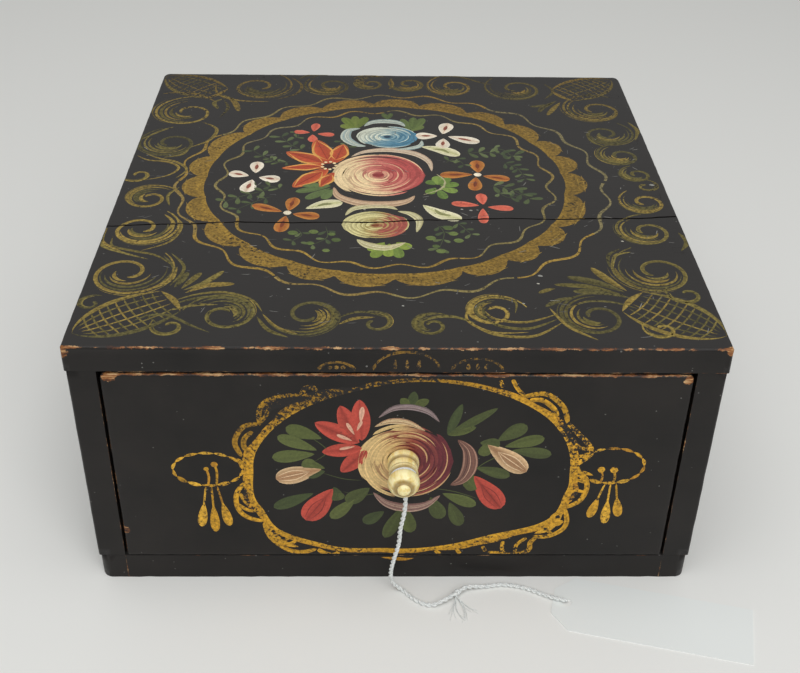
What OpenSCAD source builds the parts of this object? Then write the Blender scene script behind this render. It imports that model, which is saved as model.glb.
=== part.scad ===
// A small painted box for papers and keepsakes: a nailed case of boards with one dovetailed drawer.
// The origin is the middle of the case's underside. The drawer opens towards -Y.

/* [Case] */
// Width of the case, left to right
case_w = 254; // [180:1:340]
// Depth of the case, front to back
case_d = 266; // [200:1:340]
// Height of the case, from the table to the top
case_h = 122; // [95:1:180]
// Thickness of the side boards
side_t = 11.5; // [9:0.5:16]
// Thickness of the bottom board
bottom_t = 13; // [9:0.5:18]
// Thickness of the two top boards
top_t = 11.5; // [9:0.5:16]
// Thickness of the back board
back_t = 11; // [9:0.5:16]
// How far the top stands proud of the sides
top_lip = 0.6; // [0:0.1:2]
// Radius of the worn rear corners, seen from above
rear_corner_r = 6; // [2:0.5:8]
// Radius of the front corners of the top and sides, seen from above
front_corner_r = 1.2; // [0.6:0.2:3]
// Radius of the worn front corners of the bottom board
foot_corner_r = 5; // [1:0.5:8]
// Radius of the rubbed upper edge of the top
top_edge_r = 1.2; // [0.5:0.1:3]

/* [Seam in the top] */
// Width of the front top board, on the centre line
front_board_w = 98; // [70:1:120]
// Angle of the seam from the front edge, in degrees
seam_angle = 2.4; // [-4:0.1:4]
// Open gap between the two top boards
seam_gap = 0.9; // [0.3:0.1:2]

/* [Drawer] */
// Thickness of the drawer front
front_t = 12; // [10:0.5:16]
// Thickness of the drawer sides
drawer_side_t = 7; // [5:0.5:9]
// Thickness of the drawer back
drawer_back_t = 7; // [5:0.5:9]
// Running gap on each side of the drawer
run_gap = 1; // [0.4:0.1:2]
// Gap above the drawer front
top_gap = 1.2; // [0.5:0.1:3]
// Gap that the drawer's lower edges keep from the case bottom
sole_gap = 0.3; // [0.1:0.1:0.6]
// Gap between the drawer back and the case back that stops it
stop_gap = 0.3; // [0.1:0.1:1]
// How far the drawer sides stop below the top of the drawer front
side_drop = 1.5; // [0:0.5:6]
// How far the drawer back stops below the drawer sides
back_drop = 3; // [0:0.5:12]
// Radius of the corners of the drawer front, seen from the front
front_face_r = 2.5; // [1:0.5:5]
// Radius of the rubbed edges round the drawer front
front_edge_r = 1.2; // [0.5:0.1:2.5]

/* [Dovetails] */
// Number of tails at each corner
tail_count = 3; // [2:1:5]
// Wood left in front of the tails at the drawer front
lap_t = 3.5; // [2.5:0.5:4.5]
// Slope of the tails, as run over length
tail_slope = 0.16; // [0.1:0.01:0.2]
// Narrowest part of the pins between the tails
pin_w = 9; // [6:0.5:10]
// Glue line in every glued joint
glue_gap = 0.05; // [0.02:0.01:0.1]

/* [Drawer bottom] */
// Thickness of the middle of the drawer bottom
panel_t = 5; // [4:0.5:6]
// Thickness of its feathered edge
panel_edge_t = 2.8; // [2:0.2:3.4]
// Width of the feathering
feather_w = 16; // [8:1:24]
// Depth of the grooves that hold the bottom
groove_depth = 3.5; // [2:0.5:4]
// Height of the grooves above the lower edges of the drawer
groove_rise = 5; // [3.5:0.5:8]
// Play of the bottom in its grooves
panel_play = 0.15; // [0.05:0.05:0.3]

/* [Knob] */
// Largest radius of the turned knob
knob_r = 6.4; // [5:0.1:9]
// Length of the knob in front of the drawer
knob_l = 19.5; // [16:0.5:28]
// Radius of the neck that the string is tied to
neck_r = 4.3; // [3:0.1:4.8]
// Radius of the peg through the drawer front
peg_r = 3; // [2:0.1:4]
// Distance of the knob right of the middle
knob_x = 2.5; // [-20:0.5:20]
// Height of the knob above the table
knob_z = 67; // [50:0.5:80]

/* [Nails] */
// Length of the nails of the case
nail_l = 32; // [24:1:36]
// Length of the brads under the drawer
brad_l = 12; // [9:1:16]
// Thickness of a nail's shank
nail_t = 1.6; // [1:0.1:2.2]
// Room round a nail
nail_gap = 0.05; // [0.02:0.01:0.1]

/* [String] */
// Diameter of the doubled cotton string
string_d = 1.8; // [1.2:0.1:2]
// Diameter of the knot
knot_d = 4.2; // [3:0.1:5]

/* [Tag] */
// Length of the card tag
tag_l = 83; // [50:1:90]
// Width of the card tag
tag_w = 30; // [20:1:32]
// Thickness of the card
tag_t = 0.4; // [0.3:0.1:0.6]
// Radius of the hole in the tag
tag_hole_r = 2; // [1.5:0.5:3]

/* [Hidden] */
$fn = 48;
cut = 1;

side_w = case_w - 2 * top_lip;
side_d = case_d - 2 * top_lip;
under_top = case_h - top_t;
case_front = -case_d / 2;
case_back = side_d / 2;
inner_half_w = side_w / 2 - side_t;
back_face = case_back - back_t;
seam_y = case_front + front_board_w;

drawer_w = 2 * (inner_half_w - run_gap);
drawer_low = bottom_t + sole_gap;
drawer_top = under_top - top_gap;
front_h = drawer_top - drawer_low;
drawer_end = back_face - stop_gap;
side_top = drawer_top - side_drop;
side_h = side_top - drawer_low;
front_back_face = case_front + front_t;
tail_front_l = front_t - lap_t;
groove_low = drawer_low + groove_rise;
groove_h = panel_edge_t + 2 * panel_play;
groove_top = groove_low + groove_h;
drawer_inner_half = drawer_w / 2 - drawer_side_t;

nail_w = 2.4 * nail_t;
nail_tip_w = 1.2 * nail_t;
nail_head_w = 4;
nail_head_t = 1.1;
brad_scale = 0.6;

// Where the neck of the knob starts and ends, from the drawer face outwards.
neck_from = 9.9;
neck_to = 11.5;

// Where the string runs, in millimetres: down from the neck of the knob, over the table and onto the tag.
neck_y = case_front - (neck_from + neck_to) / 2;
string_z = string_d / 2;
string_route = [
    [3, -144, 61.4], [3.4, -144.2, 56], [3, -144.5, 49], [1.6, -144.5, 40], [1, -144, 31], [-1, -143.4, 21],
    [-2, -142, 12], [-1, -140.4, 5], [3, -141, string_z], [9, -147, string_z], [15, -149.6, string_z],
    [21, -147.6, knot_d / 2], [26, -144, knot_d / 2], [31, -140.4, knot_d / 2], [39, -139, string_z],
    [47, -138, string_z], [56, -140, string_z], [64, -144, string_z], [69, -146.6, 1.6], [73, -147.8, 1.6]
];
route_steps = 3;
string_sides = 8;
knot_index = 12;
tail_d = 1;
tail_l = 15;
hitch_r = 0.6;

// Where the tag lies on the table, clear of the case.
tag_hole_at = [73, -147.8];
tag_angle = -14;
tag_end = 6;
tag_clip = 8;

// A rectangle with its middle on the origin, with one radius for the front corners and one for the rear.
module plan(w, d, r_front, r_rear) {
    translate([-w / 2, -d / 2 + r_front]) square([w, d - r_front - r_rear]);
    translate([-w / 2 + r_front, -d / 2]) square([w - 2 * r_front, r_front + cut]);
    translate([-w / 2 + r_rear, d / 2 - r_rear - cut]) square([w - 2 * r_rear, r_rear + cut]);
    for (x = [-1, 1]) {
        translate([x * (w / 2 - r_front), -d / 2 + r_front]) circle(r_front);
        translate([x * (w / 2 - r_rear), d / 2 - r_rear]) circle(r_rear);
    }
}

// A bar's section, standing on the origin, with its two upper corners rounded.
module eased_section(w, h, r) {
    translate([-w / 2, 0]) square([w, h - r]);
    translate([-w / 2 + r, h - r - cut]) square([w - 2 * r, r + cut]);
    for (x = [-1, 1]) translate([x * (w / 2 - r), h - r]) circle(r);
}

// A slab of that plan, with its upper edges rubbed round.
module eased_slab(w, d, h, r_edge, r_front, r_rear) {
    intersection() {
        linear_extrude(h) plan(w, d, r_front, r_rear);
        rotate([90, 0, 0]) linear_extrude(d + 2 * cut, center = true) eased_section(w, h, r_edge);
        rotate([90, 0, 90]) linear_extrude(w + 2 * cut, center = true) eased_section(d, h, r_edge);
    }
}

// A cut nail with its head on top of the origin: the shank keeps one thickness and narrows the other way.
module cut_nail(len, head_w, gap) {
    w = nail_w * len / nail_l;
    tip = nail_tip_w * len / nail_l;
    translate([0, 0, -nail_head_t])
        translate([-head_w / 2 - gap, -head_w / 2 - gap, -gap])
            cube([head_w + 2 * gap, head_w + 2 * gap, nail_head_t + (gap > 0 ? cut : 0)]);
    rotate([90, 0, 0]) linear_extrude(nail_t + 2 * gap, center = true)
        polygon([[-w / 2 - gap, -nail_head_t + cut / 2], [w / 2 + gap, -nail_head_t + cut / 2],
                 [tip / 2 + gap, -len - gap], [-tip / 2 - gap, -len - gap]]);
}

// Places for nails along the depth of the case, over both side boards, and along the back board.
side_nail_x = side_w / 2 - side_t / 2;
back_nail_y = case_back - back_t / 2;
nail_margin = 16;
seam_clear = 24;
front_nail_ys = [case_front + nail_margin, seam_y - seam_clear];
rear_nail_ys = [for (i = [0:2]) seam_y + seam_clear + i * (back_face - nail_margin - seam_y - seam_clear) / 2];
bottom_nail_ys = [for (i = [0:3]) case_front + nail_margin + i * (back_face - case_front - 2 * nail_margin) / 3];
back_nail_xs = [for (i = [-1:1]) i * inner_half_w * 0.6];
back_nail_zs = [for (i = [0:2]) bottom_t + nail_margin + i * (under_top - bottom_t - 2 * nail_margin) / 2];

module top_nail_set(ys, gap) {
    for (x = [-side_nail_x, side_nail_x], y = ys)
        translate([x, y, case_h]) rotate([0, 0, 90]) cut_nail(nail_l, nail_head_w, gap);
}

module top_back_nail_set(gap) {
    for (x = back_nail_xs) translate([x, back_nail_y, case_h]) cut_nail(nail_l, nail_head_w, gap);
}

module bottom_nail_set(gap) {
    for (x = [-side_nail_x, side_nail_x], y = bottom_nail_ys)
        translate([x, y, 0]) rotate([180, 0, 90]) cut_nail(nail_l, nail_head_w, gap);
    for (x = back_nail_xs) translate([x, back_nail_y, 0]) rotate([180, 0, 0]) cut_nail(nail_l, nail_head_w, gap);
}

module back_nail_set(gap) {
    for (s = [-1, 1], z = back_nail_zs)
        translate([s * side_w / 2, back_nail_y, z]) rotate([0, s * 90, 0]) cut_nail(nail_l, nail_head_w, gap);
}

brad_xs = [-drawer_inner_half * 0.55, drawer_inner_half * 0.55];
panel_top = groove_top - panel_play;
panel_low = panel_top - panel_t;

module brad_set(gap) {
    for (x = brad_xs)
        translate([x, drawer_end - drawer_back_t / 2, panel_low])
            rotate([180, 0, 0]) cut_nail(brad_l, nail_head_w * brad_scale, gap);
}

// The lower board of the case. The sides and back stand on it, and the drawer slides on it.
module bottom_board() {
    color([0.07, 0.065, 0.06]) difference() {
        linear_extrude(bottom_t) plan(side_w, side_d, foot_corner_r, rear_corner_r);
        bottom_nail_set(nail_gap);
    }
}

// One side board, cut from the plan of the case so that it has its corners.
module side_board(sign) {
    color([0.07, 0.065, 0.06]) difference() {
        translate([0, 0, bottom_t]) linear_extrude(under_top - bottom_t) intersection() {
            plan(side_w, side_d, front_corner_r, rear_corner_r);
            translate([sign > 0 ? inner_half_w : -side_w / 2 - cut, -case_d]) square([side_t + cut, 2 * case_d]);
        }
        top_nail_set(concat(front_nail_ys, rear_nail_ys), nail_gap);
        bottom_nail_set(nail_gap);
        back_nail_set(nail_gap);
    }
}

module left_side() { side_board(-1); }
module right_side() { side_board(1); }

// The back board stands between the side boards and stops the drawer.
module back_board() {
    color([0.08, 0.07, 0.06]) difference() {
        translate([-inner_half_w, back_face, bottom_t])
            cube([2 * inner_half_w, back_t, under_top - bottom_t]);
        top_back_nail_set(nail_gap);
        bottom_nail_set(nail_gap);
        back_nail_set(nail_gap);
    }
}

// The whole top before it is cut along the seam.
module top_slab() {
    translate([0, 0, under_top]) eased_slab(case_w, case_d, top_t, top_edge_r, front_corner_r, rear_corner_r);
}

// All that lies behind the middle of the seam, moved back by half the gap.
module behind_seam(offset_y) {
    translate([0, seam_y + offset_y, 0]) rotate([0, 0, seam_angle])
        translate([-case_w, 0, 0]) cube([2 * case_w, 2 * case_d, 2 * case_h]);
}

module top_front_board() {
    color([0.08, 0.075, 0.07]) difference() {
        top_slab();
        behind_seam(-seam_gap / 2);
        top_nail_set(front_nail_ys, nail_gap);
    }
}

module top_rear_board() {
    color([0.08, 0.075, 0.07]) difference() {
        intersection() {
            top_slab();
            behind_seam(seam_gap / 2);
        }
        top_nail_set(rear_nail_ys, nail_gap);
        top_back_nail_set(nail_gap);
    }
}

module top_nails() {
    color([0.2, 0.18, 0.17]) {
        top_nail_set(concat(front_nail_ys, rear_nail_ys), 0);
        top_back_nail_set(0);
    }
}

module bottom_nails() { color([0.25, 0.2, 0.17]) bottom_nail_set(0); }
module back_nails() { color([0.2, 0.18, 0.17]) back_nail_set(0); }
module drawer_brads() { color([0.25, 0.2, 0.17]) brad_set(0); }

// The tails of one drawer side, drawn from inside the shoulder at y = 0 to their wide ends at y = len.
// The pins between them keep pin_w at their narrowest, and half a pin stands at each end.
tail_pitch = side_h / tail_count;
module tail_row(len, grow) {
    for (i = [0:tail_count - 1]) {
        z = drawer_low + (i + 0.5) * tail_pitch;
        wide = (tail_pitch - pin_w) / 2;
        narrow = wide - len * tail_slope;
        polygon([[-cut, z - narrow - grow], [0, z - narrow - grow], [len + grow, z - wide - grow],
                 [len + grow, z + wide + grow], [0, z + narrow + grow], [-cut, z + narrow + grow]]);
    }
}

// Tails of both ends of a drawer side, as solids across the side's thickness.
module front_tails(sign, grow) {
    x = sign > 0 ? drawer_inner_half : -drawer_w / 2;
    translate([x - (sign > 0 ? grow : cut), front_back_face, 0])
        mirror([0, 1, 0]) rotate([90, 0, 90]) linear_extrude(drawer_side_t + cut + grow) tail_row(tail_front_l, grow);
}

module rear_tails(sign, grow) {
    x = sign > 0 ? drawer_inner_half : -drawer_w / 2;
    translate([x - (sign > 0 ? grow : cut), drawer_end - drawer_back_t, 0])
        rotate([90, 0, 90]) linear_extrude(drawer_side_t + cut + grow) tail_row(drawer_back_t, grow);
}

// The drawer front: half-blind sockets at both ends, a groove for the bottom and a hole for the knob's peg.
module drawer_front() {
    color([0.08, 0.075, 0.07]) difference() {
        translate([0, case_front, drawer_low]) front_blank();
        for (s = [-1, 1]) front_tails(s, glue_gap);
        translate([-drawer_inner_half - groove_depth, front_back_face - groove_depth, groove_low])
            cube([2 * (drawer_inner_half + groove_depth), groove_depth + cut, groove_h]);
        translate([knob_x, case_front + front_t / 2, knob_z]) rotate([90, 0, 0])
            cylinder(r = peg_r + glue_gap, h = front_t + 2 * cut, center = true);
    }
}

// The board of the drawer front, with rounded corners and rubbed edges on the side that shows.
module front_blank() {
    intersection() {
        rotate([90, 0, 0]) translate([0, front_h / 2, -front_t])
            linear_extrude(front_t) plan(drawer_w, front_h, front_face_r, front_face_r);
        translate([0, front_t, 0]) rotate([0, 0, 180]) linear_extrude(front_h)
            eased_section(drawer_w, front_t, front_edge_r);
        translate([0, front_t, front_h / 2]) rotate([0, 90, 0]) rotate([0, 0, 180])
            linear_extrude(drawer_w, center = true) eased_section(front_h, front_t, front_edge_r);
    }
}

module drawer_side(sign) {
    x = sign > 0 ? drawer_inner_half : -drawer_w / 2;
    groove_x = sign > 0 ? drawer_inner_half - cut : -drawer_inner_half - groove_depth;
    color([0.62, 0.48, 0.3]) difference() {
        intersection() {
            union() {
                translate([x, front_back_face, drawer_low])
                    cube([drawer_side_t, drawer_end - drawer_back_t - front_back_face, side_h]);
                front_tails(sign, 0);
                rear_tails(sign, 0);
            }
            translate([x, -case_d, 0]) cube([drawer_side_t, 2 * case_d, case_h]);
        }
        translate([groove_x, -case_d, groove_low]) cube([groove_depth + cut, 2 * case_d, groove_h]);
    }
}

module drawer_left_side() { drawer_side(-1); }
module drawer_right_side() { drawer_side(1); }

// The drawer back stands on the bottom panel, which slides in under it.
module drawer_back() {
    color([0.6, 0.46, 0.29]) difference() {
        translate([-drawer_w / 2, drawer_end - drawer_back_t, groove_top])
            cube([drawer_w, drawer_back_t, side_top - back_drop - groove_top]);
        for (s = [-1, 1]) rear_tails(s, glue_gap);
        brad_set(nail_gap);
    }
}

// A feathered section: flat on top, full thickness in the middle and thin at both edges.
module feathered_section(w) {
    polygon([[-w / 2, 0], [w / 2, 0], [w / 2, -panel_edge_t], [w / 2 - groove_depth, -panel_edge_t],
             [w / 2 - feather_w, -panel_t], [-w / 2 + feather_w, -panel_t],
             [-w / 2 + groove_depth, -panel_edge_t], [-w / 2, -panel_edge_t]]);
}

module drawer_bottom() {
    w = 2 * (drawer_inner_half + groove_depth - panel_play);
    y0 = front_back_face - groove_depth + panel_play;
    color([0.58, 0.45, 0.29]) difference() {
        intersection() {
            translate([0, drawer_end, panel_top]) rotate([90, 0, 0]) linear_extrude(drawer_end - y0) feathered_section(w);
            translate([0, y0 + case_d, panel_top]) rotate([90, 0, 90])
                linear_extrude(case_w, center = true) feathered_section(2 * case_d);
        }
        brad_set(nail_gap);
    }
}

// A rounded bead between two places along the knob, standing on radius low and rising to radius high.
bead_steps = 8;
function bead(from, to, low, high) = [
    for (i = [0:bead_steps]) let (a = 180 * i / bead_steps)
        [low + (high - low) * sin(a), (from + to) / 2 - (to - from) / 2 * cos(a)]
];

// The knob's outline from the drawer face outwards, as [radius, distance].
knob_profile = concat(
    [[0, 0], [knob_r * 0.9, 0]],
    bead(0.4, 3.8, knob_r * 0.9, knob_r),
    [[knob_r * 0.78, 4.1]],
    bead(4.4, 7.6, knob_r * 0.82, knob_r * 0.9),
    bead(8.1, 9.3, knob_r * 0.8, knob_r * 0.92),
    [[neck_r, neck_from], [neck_r, neck_to]],
    [for (i = [1:bead_steps]) let (a = 90 * i / bead_steps) [neck_r + (knob_r - neck_r) * sin(a), 13.6 - 2.1 * cos(a)]],
    [for (i = [1:bead_steps]) let (a = 72 * i / bead_steps) [knob_r * cos(a), 13.6 + (knob_l - 15.4) * sin(a)]],
    [[knob_r * 0.4, knob_l - 1.9]],
    [for (i = [1:bead_steps]) let (a = 90 * i / bead_steps) [knob_r * 0.42 * cos(a), knob_l - 1.5 + 1.5 * sin(a)]]
);

module knob() {
    color([0.9, 0.84, 0.62]) translate([knob_x, case_front, knob_z]) rotate([90, 0, 0]) {
        rotate_extrude() polygon(knob_profile);
        translate([0, 0, -front_t]) cylinder(r = peg_r, h = front_t + cut / 2);
    }
}

// The string's loop round the neck of the knob.
module string_hitch() {
    color([0.9, 0.9, 0.87]) translate([knob_x, neck_y, knob_z]) rotate([90, 0, 0])
        rotate_extrude() translate([neck_r + hitch_r, 0]) circle(hitch_r);
}

function unit(v) = v / norm(v);
function curve_point(a, b, c, d, t) =
    0.5 * (2 * b + (c - a) * t + (2 * a - 5 * b + 4 * c - d) * t * t + (3 * b - a - 3 * c + d) * t * t * t);
function clamped(list, i) = list[max(0, min(len(list) - 1, i))];
function on_table(v) = [v.x, v.y, max(v.z, string_d / 2)];
function smooth_route(p, steps) = [
    for (i = [0:len(p) - 2], s = [0:steps - (i == len(p) - 2 ? 0 : 1)])
        on_table(curve_point(clamped(p, i - 1), p[i], p[i + 1], clamped(p, i + 2), s / steps))
];
function route_length(p) = [for (i = 1, sum = norm(p[1] - p[0]); i < len(p);
    sum = sum + (i + 1 < len(p) ? norm(p[i + 1] - p[i]) : 0), i = i + 1) sum][len(p) - 2];

// A tube along a route: each ring stands square to the route and is turned as little as possible from the last.
module swept_tube(p, d, sides) {
    n = len(p);
    along = [for (i = [0:n - 1]) unit(clamped(p, i + 1) - clamped(p, i - 1))];
    first = unit(cross(along[0], [1, 0, 0]));
    across = [for (i = 0, u = first; i < n;
        u = i + 1 < n ? unit(u - (u * along[i + 1]) * along[i + 1]) : u, i = i + 1) u];
    points = [for (i = [0:n - 1], k = [0:sides - 1]) let (a = 360 * k / sides)
        p[i] + d / 2 * (cos(a) * across[i] + sin(a) * cross(along[i], across[i]))];
    walls = [for (i = [0:n - 2], k = [0:sides - 1]) let (a = i * sides + k, b = i * sides + (k + 1) % sides)
        each [[a, a + sides, b + sides], [a, b + sides, b]]];
    ends = [[for (k = [0:sides - 1]) k], [for (k = [sides - 1:-1:0]) (n - 1) * sides + k]];
    polyhedron(points, concat(walls, ends));
}

module tag_string() {
    route = smooth_route(string_route, route_steps);
    echo(string_length = route_length(route), rings = len(route));
    color([0.9, 0.9, 0.87]) swept_tube(route, string_d, string_sides);
}

// The knot in the string, drawn tight round it, with its two cut ends lying on the table.
module string_knot() {
    at = string_route[knot_index];
    along = string_route[knot_index + 1] - string_route[knot_index - 1];
    color([0.9, 0.9, 0.87]) {
        translate(at) rotate([0, 0, atan2(along.y, along.x)]) rotate([0, 90, 0]) difference() {
            sphere(d = knot_d);
            cylinder(d = string_d, h = 2 * knot_d, center = true);
        }
        for (turn = [-100, -62])
            translate([at.x, at.y, tail_d / 2]) rotate([0, 0, turn]) rotate([0, 90, 0])
                translate([0, 0, knot_d / 3]) cylinder(d = tail_d, h = tail_l, $fn = 16);
    }
}

// A plain card tag with two clipped corners at the hole.
module tag() {
    color([0.93, 0.94, 0.93]) translate([tag_hole_at.x, tag_hole_at.y, 0]) rotate([0, 0, tag_angle])
        linear_extrude(tag_t) difference() {
            polygon([[-tag_end, -tag_w / 2 + tag_clip], [-tag_end + tag_clip, -tag_w / 2],
                     [tag_l - tag_end, -tag_w / 2], [tag_l - tag_end, tag_w / 2],
                     [-tag_end + tag_clip, tag_w / 2], [-tag_end, tag_w / 2 - tag_clip]]);
            circle(tag_hole_r);
        }
}

bottom_board();
left_side();
right_side();
back_board();
top_front_board();
top_rear_board();
top_nails();
bottom_nails();
back_nails();
drawer_front();
drawer_left_side();
drawer_right_side();
drawer_back();
drawer_bottom();
drawer_brads();
knob();
string_hitch();
tag_string();
string_knot();
tag();
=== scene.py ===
# %% [markdown]
# # A painted ditty box
# The box is a small nailed case of pine boards with one drawer. It was painted black all over, and then a
# flower painter worked on the top and the front with bronze powder and oil colours. The boards arrive from
# the construction model at their real size. This file gives them their paint, wear and ornament.

# %% Load the boards
import math
import random

import bmesh
import bpy
from mathutils import Matrix, Vector, noise


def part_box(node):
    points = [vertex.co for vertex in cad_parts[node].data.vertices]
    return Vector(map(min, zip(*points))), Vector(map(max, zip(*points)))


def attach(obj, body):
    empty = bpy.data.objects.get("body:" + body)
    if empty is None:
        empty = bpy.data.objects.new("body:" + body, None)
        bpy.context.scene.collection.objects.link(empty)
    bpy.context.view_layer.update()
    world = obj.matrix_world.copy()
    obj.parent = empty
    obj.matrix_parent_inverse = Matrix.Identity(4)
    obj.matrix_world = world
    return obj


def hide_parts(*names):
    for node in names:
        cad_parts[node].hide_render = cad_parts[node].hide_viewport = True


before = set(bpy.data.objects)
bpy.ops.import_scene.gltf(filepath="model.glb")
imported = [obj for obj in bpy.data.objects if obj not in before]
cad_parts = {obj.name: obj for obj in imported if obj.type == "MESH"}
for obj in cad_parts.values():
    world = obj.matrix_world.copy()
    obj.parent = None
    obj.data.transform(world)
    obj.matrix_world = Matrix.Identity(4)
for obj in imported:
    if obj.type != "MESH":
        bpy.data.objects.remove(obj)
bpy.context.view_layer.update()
MM = 0.001
SEED = 7
random.seed(SEED)

# %% [markdown]
# The places that the ornament and the wear need are read from the boards themselves, so they follow the
# model.

# %% Places on the box
top_low, top_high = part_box("top_front_board")
rear_low, rear_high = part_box("top_rear_board")
foot_low, foot_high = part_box("bottom_board")
side_low, side_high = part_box("right_side")
front_low, front_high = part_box("drawer_front")
knob_low, knob_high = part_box("knob")
TOP_Z = top_high.z
UNDER_TOP = top_low.z
FACE_Y = top_low.y
FOOT_Y = foot_low.y
knob_x = (knob_low.x + knob_high.x) / 2
knob_z = (knob_low.z + knob_high.z) / 2
print("top at", round(TOP_Z / MM, 1), "drawer face at", round(front_low.y / MM, 1), "knob at",
      round(knob_x / MM, 1), round(knob_z / MM, 1))

# %% [markdown]
# Colours are written as a painter would note them from the object, in hex, and one function turns them
# into the linear numbers that shaders use. Patterns are sized by a real measure in millimetres. One more
# function adds a shader node, with its settings and its links.

# %% Helpers for colours and nodes
def srgb(code):
    """A hex colour as linear numbers."""
    parts = [int(code[i:i + 2], 16) / 255 for i in (1, 3, 5)]
    return (*[c / 12.92 if c <= 0.04045 else ((c + 0.055) / 1.055) ** 2.4 for c in parts], 1.0)


def every(size):
    """The scale of a pattern whose marks are this many millimetres wide."""
    return 1000 / size


def new_material(name, roughness):
    """A material, its node tree and its shader."""
    material = bpy.data.materials.new(name)
    material.use_nodes = True
    shader = material.node_tree.nodes["Principled BSDF"]
    shader.inputs["Roughness"].default_value = roughness
    return material, material.node_tree, shader


def add(tree, kind, inputs=None, stops=(), **settings):
    """Adds a node, sets its properties, sets or links its inputs, and sets the stops of a colour ramp."""
    node = tree.nodes.new("ShaderNode" + kind)
    for name, value in settings.items():
        setattr(node, name, value)
    for key, value in (inputs or {}).items():
        if isinstance(value, bpy.types.NodeSocket):
            tree.links.new(value, node.inputs[key])
        else:
            node.inputs[key].default_value = value
    # A new ramp has a stop at each end, so the first two of stops are its ends.
    for k, (at, code) in enumerate(stops):
        stop = node.color_ramp.elements[k] if k < 2 else node.color_ramp.elements.new(at)
        stop.position = at
        stop.color = srgb(code)
    return node


print("paint black in linear numbers:", [round(c, 3) for c in srgb("#1f1c1b")])

# %% [markdown]
# A new piece is a bmesh that becomes an object at the origin. It is put on the body that it rides on, and
# the imported pieces that it stands for are hidden. A imported piece whose shape is right only gets a new
# finish.

# %% Helpers for pieces
def make_object(name, bm, material, smooth=True):
    """Makes an object of a bmesh."""
    for f in bm.faces:
        f.smooth = smooth
    mesh = bpy.data.meshes.new(name)
    bm.to_mesh(mesh)
    bm.free()
    mesh.materials.append(material)
    thing = bpy.data.objects.new(name, mesh)
    bpy.context.scene.collection.objects.link(thing)
    print(name, len(mesh.polygons), "faces")
    return thing


def finish_piece(name, bm, material, body, replaces=(), smooth=True):
    """Makes a piece of a bmesh, puts it on its body and hides the imported pieces that it replaces."""
    piece = make_object(name, bm, material, smooth)
    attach(piece, body)
    if replaces:
        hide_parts(*replaces)
    return piece


def coat(nodes, material):
    """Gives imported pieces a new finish."""
    for node in nodes:
        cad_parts[node].data.materials.clear()
        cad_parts[node].data.materials.append(material)
    print(material.name + ":", ", ".join(nodes))

# %% [markdown]
# ## Black paint on pine
# The ground is a thin oil paint, brushed on and rubbed by long use. It has a dull satin gloss.
# Where an arris is rubbed through, the brown pine shows. A distance from the arris, broken up by noise,
# says where that is, so the wear stays on the edges and is never even.

# %% Where the paint is rubbed through
def rubbed_through(tree, place, patch, arrises, spots):
    """1 where the wood is bare. An arris is (axis, a point on it, reach, start), in mm.

    A spot is the same without its axis.
    """
    marks = [([0.0 if i == axis else 1.0 for i in range(3)], at, reach, start)
             for axis, at, reach, start in arrises]
    marks += [([1.0, 1.0, 1.0], at, reach, start) for at, reach, start in spots]
    deepest = None
    for mask, at, reach, start in marks:
        flat = add(tree, "VectorMath", {0: place, 1: mask}, operation="MULTIPLY").outputs[0]
        target = [m * p * MM for m, p in zip(mask, at)]
        away = add(tree, "VectorMath", {0: flat, 1: target}, operation="DISTANCE").outputs["Value"]
        allowed = add(tree, "Math", {0: patch, 1: reach * MM, 2: -start * MM},
                      operation="MULTIPLY_ADD").outputs[0]
        depth = add(tree, "Math", {0: allowed, 1: away}, operation="SUBTRACT").outputs[0]
        if deepest is not None:
            depth = add(tree, "Math", {0: deepest, 1: depth}, operation="MAXIMUM").outputs[0]
        deepest = depth
    return add(tree, "MapRange", {"Value": deepest, "From Min": -0.1 * MM, "From Max": 0.15 * MM}).outputs[0]


print("a rubbed edge fades over 0.25 mm")

# %% [markdown]
# Old paint also has small pale chips and specks. A cell pattern gives the places, only a few cells are
# taken, and the grain of the wood makes each chip ragged.

# %% Chips and specks
CHIP = "#8e8d89"
# Each row is a spacing in mm, the share of cells that stay sound, and the chips' size as a share of a cell.
CHIPS = ((6.0, 0.95, 0.13), (2.2, 0.94, 0.24))


def chipped(tree, painted, place, grain, patch):
    """The paint's colour with chips in it."""
    for spacing, sound, size in CHIPS:
        cells = add(tree, "TexVoronoi", {"Vector": place, "Scale": every(spacing)})
        chance = add(tree, "SeparateColor", {"Color": cells.outputs["Color"]}).outputs[0]
        rare = add(tree, "Math", {0: chance, 1: sound}, operation="GREATER_THAN").outputs[0]
        ragged = add(tree, "Math", {0: grain, 1: size}, operation="MULTIPLY").outputs[0]
        near = add(tree, "Math", {0: cells.outputs["Distance"], 1: ragged}, operation="LESS_THAN").outputs[0]
        chip = add(tree, "Math", {0: rare, 1: near}, operation="MULTIPLY").outputs[0]
        chip = add(tree, "Math", {0: chip, 1: patch}, operation="MULTIPLY").outputs[0]
        painted = add(tree, "Mix", {0: chip, 6: painted, 7: srgb(CHIP)}, data_type="RGBA").outputs[2]
    return painted


print("sizes of chips:", len(CHIPS))

# %% [markdown]
# Under old paint, pine is a dark orange brown, with paler places where the rubbing is fresh; that pale wood
# also stands in for a painted highlight along the rubbed arrises. The paint itself goes from blue black to
# brown black in clouds a few centimetres wide. Faces that point up are painted greyer, partly for dust and
# partly as a painted sheen of the room's light. Brush marks run across the box, with fine grit over them.

# %% The black ground
GROUND = "#1f1c1b"
DUST_AND_SHEEN = "#393736"
# The pale stop of the pine is fresh wear and also a painted highlight along the rubbed arrises.
PINE_AND_HIGHLIGHT_STOPS = ((0.4, "#33201a"), (0.62, "#cda878"), (0.5, "#8a5429"))
PAINT_STOPS = ((0.32, "#131110"), (0.7, "#221e1c"))
PATCH_MM = 11
GRAIN_MM = 1.7
CLOUD_MM = 45
BRUSH_MM = 1.6


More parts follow.
